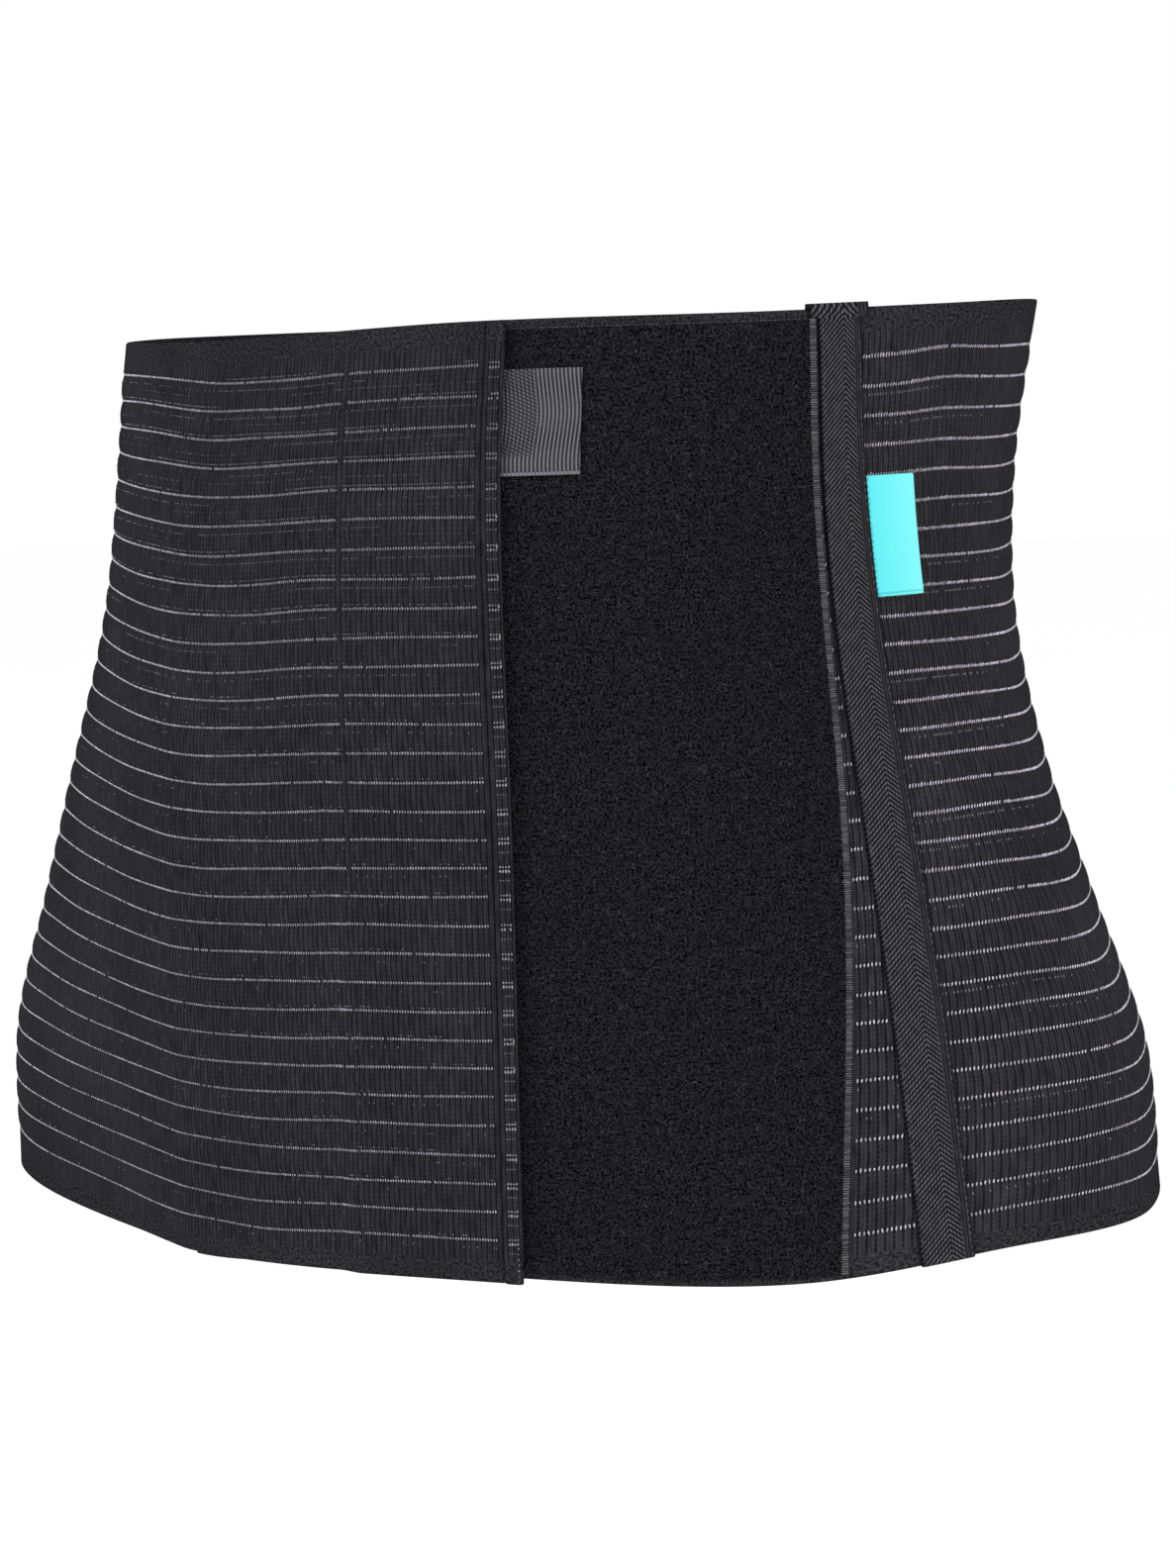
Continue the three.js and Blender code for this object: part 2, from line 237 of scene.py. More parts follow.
UNDER_DROP = 2.3
UNDER_DROP_REACH = 55.0
FLEECE_MARGIN_TOP = 3.0
FLEECE_MARGIN_BOTTOM = 2.4
FLEECE_SETBACK = 2.5

fleece_out = LAYER_GAP
fleece_top = fleece_out + FLEECE_THICKNESS
hook_out = fleece_top + LAYER_GAP
hook_top = hook_out + HOOK_THICKNESS
flap_on_hook = hook_top + LAYER_GAP


def line_length(name, up):
    follows, width, shares = LINES[name]
    start = line_length(follows, up) if follows else 0.0
    return start + width * along_table(shares, 1, up)


def under_slip(up, length):
    """How far the under end has slipped down below the flap."""
    start = line_length("under_end", up)
    return -UNDER_DROP * (1 - smoothstep(length, start, start + UNDER_DROP_REACH))


fleece_shown = line_length("fleece_end", 0.5) - line_length("flap_end", 0.5)
print("fleece shown at half height", fleece_shown, "mm")

# %% [markdown]
# ## Cloth coordinates
#
# The elastic is knitted in upright wales, crossed by pale stripes. A place on it is a wale number
# and a stripe number, which also make its UV map. The wales follow the cloth: they fan out where
# the hips stretch it, because the stations below move with the lines.

# %% Stations round the band
# name, line it follows, mm past the line, turns, columns to the next, wale pitch to the next
STATIONS = [
    ("under_end", "under_end", 0.0, 0.0, 44, 1.7),
    ("fleece_end", "fleece_end", 0.0, 0.0, 104, 2.1),
    ("left_back", None, 0.0, 0.3, 80, 2.0),
    ("middle_back", None, 0.0, 0.5, 80, 1.9),
    ("ramp_start", "under_end", -RAMP_LENGTH, 1.0, 24, 1.7),
    ("ramp_end", "under_end", -LAYER_GAP, 1.0, 30, 1.6),
    ("hook_ramp", "flap_end", -HOOK_WIDTH - HOOK_RAMP, 1.0, 6, 1.6),
    ("hook_start", "flap_end", -HOOK_WIDTH, 1.0, 28, 1.6),
    ("hem_groove", "flap_end", -HEM_WIDTH - 1.2, 1.0, 3, 1.6),
    ("hem", "flap_end", -HEM_WIDTH, 1.0, 7, 1.6),
    ("flap_end", "flap_end", 0.0, 1.0, 0, 1.6),
]
# Places in a row of STATIONS
COLUMNS_TO_NEXT = 4
PITCH_TO_NEXT = 5

STRIPES = 31
STRIPE_TOP = 13.5
STRIPE_PITCH = 8.475


def station_length(station, up):
    name, line, extra, turns, columns, pitch = station
    start = line_length(line, up) if line else 0.0
    return start + extra + turns * girth(up)


half = np.array([0.5])
station_wales = [0.0]
for station, following in zip(STATIONS, STATIONS[1:]):
    width = (station_length(following, half) - station_length(station, half))[0]
    station_wales.append(station_wales[-1] + width / station[PITCH_TO_NEXT])
station_wales = np.array(station_wales)
WALE = {station[0]: wale for station, wale in zip(STATIONS, station_wales)}


def wale_length(wale, up):
    """Length round the front of each wale number at each height."""
    wale, up = np.broadcast_arrays(wale, up)
    length = np.empty(wale.shape)
    for level in np.unique(np.round(up, 6)):
        here = np.round(up, 6) == level
        ends = np.array([station_length(s, np.array([level]))[0] for s in STATIONS])
        length[here] = np.interp(wale[here], station_wales, ends)
    return length


def stripe_number(up):
    return ((1 - up) * BAND_HEIGHT - STRIPE_TOP) / STRIPE_PITCH


def stripe_up(stripe):
    return 1 - (STRIPE_TOP + STRIPE_PITCH * stripe) / BAND_HEIGHT


print("wales round the band", round(station_wales[-1]), "stripes", STRIPES)

# %% [markdown]
# The elastic's outer face is more than a plain offset. It bulges between the stripes, climbs over
# the layers below it near the flap, and ends in a folded hem with a stitched groove.

# %% Relief of the elastic
BULGE = 0.75
COVERED_BULGE = 0.3
BULGE_POWER = 2.5
MARGIN_STEP = 0.12
# Columns: mm from the flap's end, rise of the outer face in mm
HEM_PROFILE = np.array([
    [0.0, 0.20],
    [0.5, 0.65],
    [1.2, 0.80],
    [4.2, 0.80],
    [5.0, 0.20],
    [5.4, -0.35],
    [5.8, -0.10],
    [6.2, 0.0],
])


def taut(share):
    """0 to 1: a long bend away from the body, then a short one back onto the layer below."""
    share = np.clip(share, 0, 1)
    return np.where(share < TAUT_TURN, share**2 / TAUT_TURN, 1 - (1 - share) ** 2 / (1 - TAUT_TURN))


def layer_out(length, up):
    """Offset of the elastic's inner face: it climbs from the body onto the layers below."""
    turn = girth(up)
    under = turn + line_length("under_end", up)
    flap = turn + line_length("flap_end", up)
    climb = taut((length - under + RAMP_LENGTH) / (RAMP_LENGTH + RAMP_PAST))
    on_hook = smoothstep(length, flap - HOOK_WIDTH - HOOK_RAMP, flap - HOOK_WIDTH)
    inner = -ELASTIC_THICKNESS + (ELASTIC_THICKNESS + hook_out) * climb
    return inner + (flap_on_hook - hook_out) * on_hook


def bulge(stripe):
    """Share of BULGE at each stripe number: 0 in the stripes, 1 half way between two of them."""
    part = stripe - np.floor(stripe)
    band = 1 - np.abs(2 * part - 1) ** BULGE_POWER
    past_ends = np.maximum(-stripe, stripe - (STRIPES - 1))
    margin = 0.5 * np.clip(past_ends / MARGIN_STEP, 0, 1)
    return np.where(past_ends > 0, margin, band)


print("rows in the hem's profile", len(HEM_PROFILE))

# %% [markdown]
# The stripes aren't quite level on a body. A small ripple makes them waver all round, and a table
# lifts or lowers them where the worn cloth is pulled up or sags.

# %% Ripple and drift of the stripes
SLOW_RIPPLE = 0.16
QUICK_RIPPLE = 0.12
# Columns: wale, then how far the cloth drifts up, in mm, at each of DRIFT_STRIPES
DRIFT_STRIPES = (0, 8, 16, 22, 26, 30)
DRIFT = np.array([
    [105, 0.0, 0.0, 0.0, 0.0, 0.0, 0.0],
    [128, -0.8, -0.6, -0.6, -0.4, 0.3, -0.3],
    [142, -0.5, -0.6, -0.5, -0.2, 0.4, -0.6],
    [152, 0.9, -0.9, -0.3, 0.0, 0.6, -0.3],
    [162, 0.3, -1.2, -1.2, -1.5, 0.0, 0.0],
    [172, 0.0, -1.5, -2.0, -2.4, -0.9, -0.4],
    [205, 0.0, 0.0, 0.0, 0.0, 0.0, 0.0],
    [395, 0.0, 0.0, 0.5, 1.4, 2.0, 1.0],
    [424, 2.0, 2.7, 4.0, 2.4, 2.7, 1.0],
    [440, 3.0, 2.0, 2.6, 0.0, 1.0, 0.7],
    [460, 2.6, -0.9, -0.9, -2.4, -0.6, -0.9],
    [482, 0.0, -2.1, -1.8, -2.1, -0.9, -0.9],
    [496, 0.0, -1.5, -0.6, -0.6, -0.3, -1.2],
    [508, 0.0, 0.0, 0.6, 0.6, 0.9, -0.3],
    [520, 0.6, 0.9, 1.8, 2.1, 2.1, 0.6],
    [549, 1.2, 1.2, 1.8, 2.4, 2.7, 0.9],
])


def drift(wale, stripe):
    """Rise of the cloth in mm where it is pulled up or sags, read from the table both ways."""
    place = np.interp(stripe, DRIFT_STRIPES, np.arange(len(DRIFT_STRIPES)))
    total = 0.0
    for i in range(len(DRIFT_STRIPES)):
        total = total + along_table(DRIFT, 1 + i, wale) * np.clip(1 - np.abs(place - i), 0, 1)
    return total


def ripple(wale, stripe):
    """Rise that makes the stripes waver and drift, in mm. The two edges keep their place."""
    slow = np.sin(0.043 * wale + 0.9 * stripe)
    quick = np.sin(0.17 * wale - 1.7 * stripe + 2.0)
    calm = smoothstep(stripe, -1.5, 0.0) * (1 - smoothstep(stripe, STRIPES - 1, STRIPES + 0.4))
    return (SLOW_RIPPLE * slow + QUICK_RIPPLE * quick + drift(wale, stripe)) * calm


print("drift table", DRIFT.shape)

# %% [markdown]
# The outer face adds all of this up. It bulges less beneath the fleece and the tape, and its two
# edges are rounded off.

# %% Outer face of the elastic
EDGE_ROUNDING = 0.45
EDGE_REACH = 0.0005


def under_tape(length, up, margin=0.0):
    """True where the stay's tape covers the elastic."""
    past_start = length > line_length("tape_start", up) - margin
    return past_start & (length < line_length("tape_end", up) + margin)


def elastic_surface(wale, up, lift=0.0):
    """Points on the elastic's outer face."""
    wale, up = np.broadcast_arrays(wale, up)
    length = wale_length(wale, up)
    stripe = stripe_number(up)
    height = np.where((wale < WALE["fleece_end"]) | under_tape(length, up), COVERED_BULGE, BULGE)
    end = girth(up) + line_length("flap_end", up)
    hem = np.interp(end - length, HEM_PROFILE[:, 0], HEM_PROFILE[:, 1])
    edge = -EDGE_ROUNDING * (np.minimum(up, 1 - up) < EDGE_REACH)
    out = layer_out(length, up) + ELASTIC_THICKNESS + height * (bulge(stripe) - 0.5) + hem + edge
    slip = np.where(wale < WALE["middle_back"], under_slip(up, length), 0.0)
    return on_form(up, length, out + lift, slip + ripple(wale, stripe))


print("wale at the flap's end", round(WALE["flap_end"], 1))


# %% [markdown]
# ## Meshes of cloth
#
# A sheet of cloth is a closed slab: a fine outer face, an inner face that may be coarser, and a
# rim between them. Grids are indexed by row (up) and column (round the front).

# %% Slab maker
def link(name, mesh):
    made = bpy.data.objects.new(name, mesh)
    bpy.context.scene.collection.objects.link(made)
    return made


def slab(name, outer, inner, uv, skip_rows=1, skip_columns=1):
    """Closed slab from two grids of points in mm; the inner one is thinned by the two skips."""
    rows, columns = outer.shape[0] - 1, outer.shape[1] - 1
    thin = inner[::skip_rows, ::skip_columns]
    thin_rows, thin_columns = thin.shape[0] - 1, thin.shape[1] - 1
    first = (rows + 1) * (columns + 1)

    def top(row, column):
        return row * (columns + 1) + column

    def low(row, column):
        return first + row * (thin_columns + 1) + column

    faces = []
    for r in range(rows):
        for c in range(columns):
            faces.append((top(r, c), top(r, c + 1), top(r + 1, c + 1), top(r + 1, c)))
    for r in range(thin_rows):
        for c in range(thin_columns):
            faces.append((low(r, c), low(r + 1, c), low(r + 1, c + 1), low(r, c + 1)))
    for c in range(thin_columns):
        span = range(c * skip_columns, (c + 1) * skip_columns + 1)
        faces.append([low(0, c), low(0, c + 1), *[top(0, i) for i in reversed(span)]])
        faces.append([*[top(rows, i) for i in span], low(thin_rows, c + 1), low(thin_rows, c)])
    for r in range(thin_rows):
        span = range(r * skip_rows, (r + 1) * skip_rows + 1)
        far_side = [top(i, columns) for i in reversed(span)]
        faces.append([*[top(i, 0) for i in span], low(r + 1, 0), low(r, 0)])
        faces.append([low(r, thin_columns), low(r + 1, thin_columns), *far_side])
    points = np.concatenate([outer.reshape(-1, 3), thin.reshape(-1, 3)]) * 0.001
    thin_uv = uv[::skip_rows, ::skip_columns]
    places = np.concatenate([uv.reshape(-1, 2), thin_uv.reshape(-1, 2)])
    mesh = bpy.data.meshes.new(name)
    mesh.from_pydata(points.tolist(), [], faces)
    corner = np.empty(len(mesh.loops), dtype=np.int32)
    mesh.loops.foreach_get("vertex_index", corner)
    layer = mesh.uv_layers.new(name="cloth")
    layer.data.foreach_set("uv", places[corner].astype(np.float32).ravel())
    mesh.shade_smooth()
    mesh.set_sharp_from_angle(angle=math.radians(55))
    print(name, "faces", len(mesh.polygons))
    return link(name, mesh)


def grid(across, upwards):
    """Two arrays of the same shape, indexed by row and column."""
    columns, rows = np.meshgrid(across, upwards)
    return columns, rows


def edge_drop(values, start, end, reach, depth):
    """Rounds a slab's edge: depth at its two ends, nothing further in than reach."""
    inside = np.minimum(values - start, end - values)
    return -depth * (1 - np.clip(inside / reach, 0, 1)) ** 2


# %% [markdown]
# The elastic is laid first. Six rows between each pair of stripes are enough for its bulges.

# %% Elastic band
BAND_FRACTIONS = [0.0, 0.09, 0.28, 0.5, 0.72, 0.91]
# mm above the bottom edge, and mm below the top edge
BOTTOM_ROWS = [0.0, 0.5, 1.6, 4.5, 8.0, 11.49]
TOP_ROWS = [12.74, 9.5, 6.0, 2.0, 0.5, 0.0]
stripe_rows = [STRIPES - 1 - band - part for band in range(STRIPES - 1) for part in BAND_FRACTIONS]
levels = [height / BAND_HEIGHT for height in BOTTOM_ROWS]
levels += [stripe_up(stripe) for stripe in stripe_rows + [0.0]]
levels += [1 - depth / BAND_HEIGHT for depth in TOP_ROWS]
stretches = []
for station, start, end in zip(STATIONS, station_wales, station_wales[1:]):
    stretches.append(np.linspace(start, end, station[COLUMNS_TO_NEXT], endpoint=False))
wales = np.concatenate(stretches + [[station_wales[-1]]])
wale_grid, up_grid = grid(wales, levels)
band_length = wale_length(wale_grid, up_grid)
band_slip = np.where(wale_grid < WALE["middle_back"], under_slip(up_grid, band_length), 0.0)
band_outer = elastic_surface(wale_grid, up_grid)
band_rise = band_slip + ripple(wale_grid, stripe_number(up_grid))
band_inner = on_form(up_grid, band_length, layer_out(band_length, up_grid), band_rise)
band_uv = np.stack([wale_grid, stripe_number(up_grid)], axis=-1)
elastic = slab("elastic_cloth", band_outer, band_inner, band_uv, skip_rows=3, skip_columns=2)

# %% [markdown]
# The fleece panel, the hook strip behind the flap and the webbing tab lie between the band's two
# layers. Pile is added to the fleece later.

# %% Fleece panel and hook strip
FLEECE_ROUNDING = 0.7
FLEECE_LUMP = 0.16
noise = np.random.default_rng(7)


def between_lines(start, start_extra, end, end_extra, shares, up):
    """Lengths at shares of the way from one line to another."""
    low_end = line_length(start, up) + start_extra
    high_end = line_length(end, up) + end_extra
    return low_end + (high_end - low_end) * shares


fleece_levels = np.linspace(FLEECE_MARGIN_BOTTOM, BAND_HEIGHT - FLEECE_MARGIN_TOP, 97) / BAND_HEIGHT
share_grid, up_grid = grid(np.linspace(0, 1, 81), fleece_levels)
fleece_length = between_lines("under_end", FLEECE_SETBACK, "fleece_end", 0.0, share_grid, up_grid)
side_drop = edge_drop(share_grid, 0, 1, 0.015, FLEECE_ROUNDING)
end_drop = edge_drop(up_grid, fleece_levels[0], fleece_levels[-1], 0.006, FLEECE_ROUNDING)
fleece_drop = side_drop + end_drop
fleece_lump = noise.uniform(-FLEECE_LUMP, 0.0, share_grid.shape)
fleece_slip = under_slip(up_grid, fleece_length)
fleece_outer = on_form(up_grid, fleece_length, fleece_top + fleece_drop + fleece_lump, fleece_slip)
fleece_inner = on_form(up_grid, fleece_length, fleece_out, fleece_slip)
fleece_uv = np.stack([fleece_length, up_grid * BAND_HEIGHT], axis=-1)
fleece = slab("fleece_panel", fleece_outer, fleece_inner, fleece_uv, skip_rows=2, skip_columns=2)

share_grid, up_grid = grid(np.linspace(0, 1, 9), fleece_levels[::2])
hook_length = between_lines("flap_end", -HOOK_WIDTH, "flap_end", -HEM_WIDTH - 2.0, share_grid, up_grid)
hook_outer = on_form(up_grid, hook_length, hook_top)
hook_inner = on_form(up_grid, hook_length, hook_out)
hook_uv = np.stack([hook_length, up_grid * BAND_HEIGHT], axis=-1)
hook = slab("hook_tape_strip", hook_outer, hook_inner, hook_uv)

# %% [markdown]
# The tab is a folded piece of ribbed webbing. Its ribs are modelled, and lean a little near the
# lower end, as they do where the webbing has been pulled.

# %% Pull tab
TAB_WIDTH = 22.0
TAB_HEIGHT = 29.5
TAB_TOP = 14.0
TAB_TUCK = 5.5
TAB_RIBS = 24
RIB_DEPTH = 0.3
TAB_SWAY = 0.35
tab_bottom = 1 - (TAB_TOP + TAB_HEIGHT) / BAND_HEIGHT
tab_levels = np.linspace(tab_bottom, 1 - TAB_TOP / BAND_HEIGHT, 41)
share_grid, up_grid = grid(np.linspace(0, 1, TAB_RIBS * 6 + 1), tab_levels)
tab_up = (up_grid - tab_bottom) * BAND_HEIGHT / TAB_HEIGHT
tab_sway = TAB_SWAY * np.sin(math.pi * tab_up) * share_grid * (1 - share_grid) * 4
tab_start = line_length("flap_end", up_grid) - TAB_TUCK
tab_length = tab_start + (TAB_WIDTH + TAB_TUCK) * share_grid + tab_sway
tab_rib = np.abs(np.sin(math.pi * TAB_RIBS * share_grid))
tab_drop = edge_drop(tab_up, 0, 1, 0.03, 0.3) + edge_drop(share_grid, 0, 1, 0.02, 0.25)
tab_face = hook_out + WEBBING_THICKNESS - RIB_DEPTH + RIB_DEPTH * tab_rib + tab_drop
tab_outer = on_form(up_grid, tab_length, tab_face)
tab_inner = on_form(up_grid, tab_length, hook_out)
tab_uv = np.stack([share_grid * TAB_RIBS, tab_up * TAB_HEIGHT], axis=-1)
tab = slab("webbing_tab", tab_outer, tab_inner, tab_uv, skip_rows=2, skip_columns=6)

# %% [markdown]
# The stay's tape runs up the outside, over the top edge and a little way down the inside. Its path
# is a list of heights and offsets, so one slab makes the whole fold. The label is caught in the
# tape's edge.

# %% Stay tape and side label
TAPE_FOLD = 8.0
TAPE_CAP_HEIGHT = 3.0
TAPE_CAP_EXTRA = 2.6
TAPE_UV_WIDTH = 16
STRAIGHT_ROWS = 90
CAP_ROWS = 2
near = LAYER_GAP
far = LAYER_GAP + TAPE_THICKNESS
behind_near = -ELASTIC_THICKNESS - near
behind_far = -ELASTIC_THICKNESS - far
# Columns: mm below the top edge, offset and rise of the outer face, the same of the inner face,
# and how much wider each side is
tape_path = []
for depth in np.linspace(BAND_HEIGHT, TAPE_CAP_HEIGHT, STRAIGHT_ROWS):
    tape_path.append((depth, far, 0.0, near, 0.0, 0.0))
for depth in (TAPE_CAP_HEIGHT * 0.8, TAPE_CAP_HEIGHT * 0.4):
    tape_path.append((depth, far + 0.25, 0.0, near, 0.0, TAPE_CAP_EXTRA))
tape_path.append((0.0, far, 0.5 * far, near, 0.5 * near, TAPE_CAP_EXTRA))
tape_path.append((0.0, 0.5 * far, far, 0.5 * near, near, TAPE_CAP_EXTRA))
tape_path.append((0.0, behind_far + 0.5, far, behind_near, near, TAPE_CAP_EXTRA))
for depth in np.linspace(0.5, TAPE_FOLD, 6):
    tape_path.append((depth, behind_far, 0.0, behind_near, 0.0, TAPE_CAP_EXTRA))
tape_path = np.array(tape_path)
share_grid, row_grid = grid(np.linspace(0, 1, 19), np.arange(len(tape_path)))
steps = tape_path[row_grid]
tape_up = 1 - steps[..., 0] / BAND_HEIGHT
tape_extra = steps[..., 5]
tape_length = between_lines("tape_start", -tape_extra, "tape_end", tape_extra, share_grid, tape_up)
tape_drop = edge_drop(share_grid, 0, 1, 0.08, 0.4)
tape_face = steps[..., 1] + tape_drop * (steps[..., 1] > 1)
tape_outer = on_form(tape_up, tape_length, tape_face, steps[..., 2])
tape_inner = on_form(tape_up, tape_length, steps[..., 3], steps[..., 4])
tape_run = np.where(row_grid < STRAIGHT_ROWS + CAP_ROWS, steps[..., 0], -steps[..., 0])
tape_uv = np.stack([(share_grid - 0.5) * TAPE_UV_WIDTH, -tape_run], axis=-1)
tape = slab("herringbone_tape", tape_outer, tape_inner, tape_uv)

LABEL_WIDTH = 17.0
LABEL_HEIGHT = 36.0
LABEL_TOP = 48.0
LABEL_ROUNDING = 0.35
LABEL_PILLOW = 0.25
label_levels = 1 - np.linspace(LABEL_TOP + LABEL_HEIGHT, LABEL_TOP, 73) / BAND_HEIGHT
share_grid, up_grid = grid(np.linspace(0, 1, 25), label_levels)
label_up = (up_grid - label_levels[0]) * BAND_HEIGHT
serrated = 0.16 * np.where(share_grid < 0.01, np.sin(math.pi * label_up / 0.9), 0.0)
label_length = line_length("tape_end", up_grid) + LAYER_GAP + LABEL_WIDTH * share_grid + serrated
side_drop = edge_drop(share_grid, 0, 1, 0.05, LABEL_ROUNDING)
end_drop = edge_drop(label_up, 0, LABEL_HEIGHT, 0.8, LABEL_ROUNDING)
label_drop = side_drop + end_drop
label_arch = np.sin(math.pi * share_grid) * np.sin(math.pi * label_up / LABEL_HEIGHT)
label_face = LAYER_GAP + LABEL_THICKNESS + label_drop + LABEL_PILLOW * label_arch
label_outer = on_form(up_grid, label_length, label_face)
label_inner = on_form(up_grid, label_length, LAYER_GAP + 0.1)
label_uv = np.stack([share_grid * LABEL_WIDTH, label_up], axis=-1)
label = slab("side_label_cloth", label_outer, label_inner, label_uv, skip_rows=2, skip_columns=2)

# %% [markdown]
# ## Materials
#
# Shader maths reads like ordinary maths here: a `Signal` wraps one output socket, and its
# operators add Math nodes. A `Recipe` holds one material and adds every node by one method.

# %% Shader helpers
def add_node(tree, kind, settings=None, inputs=None):
    """Adds a node to a tree, sets it up, and links or sets its inputs."""
    node = tree.nodes.new(kind)
    for name, value in (settings or {}).items():
        setattr(node, name, value)
    for key, value in (inputs or {}).items():
        if isinstance(value, Signal):
            value = value.socket
        if isinstance(value, bpy.types.NodeSocket):
            tree.links.new(value, node.inputs[key])
        else:
            node.inputs[key].default_value = value
    return node


class Signal:
    """One output socket of a material, with operators that add Math nodes."""

    def __init__(self, recipe, socket):
        self.recipe = recipe
        self.socket = socket

    def math(self, operation, first, second=0.0):
        return self.recipe.node("ShaderNodeMath", {"operation": operation}, {0: first, 1: second})

    def __add__(self, other):
        return self.math("ADD", self, other)

    def __radd__(self, other):
        return self.math("ADD", other, self)

    def __sub__(self, other):
        return self.math("SUBTRACT", self, other)

    def __rsub__(self, other):
        return self.math("SUBTRACT", other, self)

    def __mul__(self, other):
        return self.math("MULTIPLY", self, other)

    def __rmul__(self, other):
        return self.math("MULTIPLY", other, self)

    def ridge(self):
        """0 at whole numbers, 1 half way between them."""
        return self.math("PINGPONG", self, 0.5) * 2.0

    def absolute(self):
        return self.math("ABSOLUTE", self)

    def below(self, limit):
        return self.math("LESS_THAN", self, limit)

    def above(self, limit):
        return self.math("GREATER_THAN", self, limit)

    def clamped(self):
        return self.math("MINIMUM", self.math("MAXIMUM", self, 0.0), 1.0)


class Recipe:
    """A material's node tree."""

    def __init__(self, name):
        self.material = bpy.data.materials.new(name)
        self.material.use_nodes = True
        self.tree = self.material.node_tree
        self.tree.nodes.clear()

    def node(self, kind, settings=None, inputs=None, output=0):
        """Adds a node and returns one of its outputs."""
        node = add_node(self.tree, kind, settings, inputs)
        return Signal(self, node.outputs[output]) if node.outputs else None

    def cloth(self):
        """The two coordinates of the cloth's own UV map."""
        place = self.node("ShaderNodeUVMap", {"uv_map": "cloth"})
        split = self.node("ShaderNodeSeparateXYZ", {}, {0: place})
        return split, Signal(self, split.socket.node.outputs[1])

    def tint(self):
        """The number that each stitch or fibre carries, 0 for dark to 1 for pale."""
        return self.node("ShaderNodeAttribute", {"attribute_name": "tint"}, {}, 2)

    def spot(self):
        """Object coordinates, in metres."""
        return self.node("ShaderNodeTexCoord", {}, {}, 3)

    def join(self, x, y, z=0.0):
        return self.node("ShaderNodeCombineXYZ", {}, {0: x, 1: y, 2: z})

    def noise(self, place, scale, detail=2.0):
        inputs = {"Vector": place, "Scale": scale, "Detail": detail}
        return self.node("ShaderNodeTexNoise", {}, inputs)

    def blend(self, factor, first, second):
        inputs = {0: factor, 6: first, 7: second}
        return self.node("ShaderNodeMix", {"data_type": "RGBA"}, inputs, 2)

    def bump(self, height, distance, strength=1.0):
        inputs = {"Strength": strength, "Distance": distance, "Height": height}
        return self.node("ShaderNodeBump", {}, inputs)

    def finish(self, color, roughness, normal=None, gloss=0.0):
        inputs = {"Base Color": color, "Roughness": roughness, "Specular IOR Level": gloss}
        if normal is not None:
            inputs["Normal"] = normal
        shader = self.node("ShaderNodeBsdfPrincipled", {}, inputs)
        self.node("ShaderNodeOutputMaterial", {}, {"Surface": shader})
        return self.material


def grey(level, warm=0.0):
    """Linear colour for a screen grey of 0 to 255, nearly neutral: a little violet, or warmer."""
    linear = ((level / 255 + 0.055) / 1.055) ** 2.4 if level > 10 else level / 255 / 12.92
    return (linear * (1 + warm), linear * 0.97, linear * (1.07 - warm), 1.0)


print("shader helpers ready, mid grey is", round(grey(128)[0], 3))

# %% [markdown]
# The elastic's wales are light ropes with dark gaps between them. Short slanting strokes on each
# rope stand for the knit, and the plain margins above and below the stripes are a fine twill.
# Beside the fleece and on the flap the knit is open, so its gaps are darker there.

# %% Elastic material
OPEN_WALE = float(WALE["fleece_end"]) + 6.0
OPEN_REACH = 55.0
FLAP_WALE = float(WALE["ramp_start"]) - 10.0
FLAP_REACH = 30.0
recipe = Recipe("ribbed_elastic")
wale, stripe = recipe.cloth()
open_knit = (1.0 - (wale - OPEN_WALE).absolute() * (1.0 / OPEN_REACH)).clamped()
at_front = (open_knit + ((wale - FLAP_WALE) * (1.0 / FLAP_REACH)).clamped()).clamped()
gap = (1.0 - wale.ridge() * 1.7).clamped()
crossing = (stripe * 6.0).ridge()
ticks = (wale * 2.0).ridge()
stroke = (stripe * 12.0 + wale * 0.5).ridge()
streaks = recipe.noise(recipe.join(wale * 1.1, stripe * 1.2), 1.0, 3.0)
patches = recipe.noise(recipe.join(wale * 0.05, stripe * 0.15), 1.0, 2.0)
holes = gap * (0.35 + 0.65 * crossing) * (0.35 + 0.65 * at_front)
knit = (1.0 - holes) * (0.5 + 0.5 * ticks) * (0.6 + 0.4 * stroke)
knit = knit * (0.95 + (streaks - 0.5) * (0.8 + 1.1 * at_front))
in_margin = stripe.below(-0.75) + stripe.above(STRIPES - 1 + 0.7)
twill = (wale * 2.0 + stripe * 9.0).ridge()
fuzz = (recipe.noise(recipe.join(wale * 2.2, stripe * 10.0), 1.0, 2.0) * 3.4 - 1.2).clamped()
edging = fuzz * 0.75 + twill * 0.25
pattern = knit + in_margin * (edging - knit)
pattern = (pattern * (0.65 + 0.7 * patches)).clamped()
darkest = recipe.blend(open_knit, grey(9), grey(7))
lightest = recipe.blend(open_knit, grey(54), grey(62))
color = recipe.blend(pattern, darkest, lightest)
normal = recipe.bump((1.0 - gap) * 0.7 + stroke * 0.3, 0.0004, 0.7)
elastic_material = recipe.finish(color, 0.85, normal)

# %% [markdown]
# Fleece, hook tape and webbing each need one small pattern in mm. The webbing's ribs bend, and a
# fine mesh shows between them on the side near the flap.

# %% Fleece, hook tape and webbing materials
recipe = Recipe("black_fleece")
x, y = recipe.cloth()
place = recipe.join(x, y)
clumps = recipe.noise(place, 1.35, 3.0)
fuzz = (clumps * 3.2 - 1.2 + (recipe.noise(place, 0.35, 2.0) - 0.5) * 0.7).clamped()
color = recipe.blend(fuzz, grey(4), grey(46))
fleece_material = recipe.finish(color, 1.0, recipe.bump(clumps, 0.0012, 1.0))

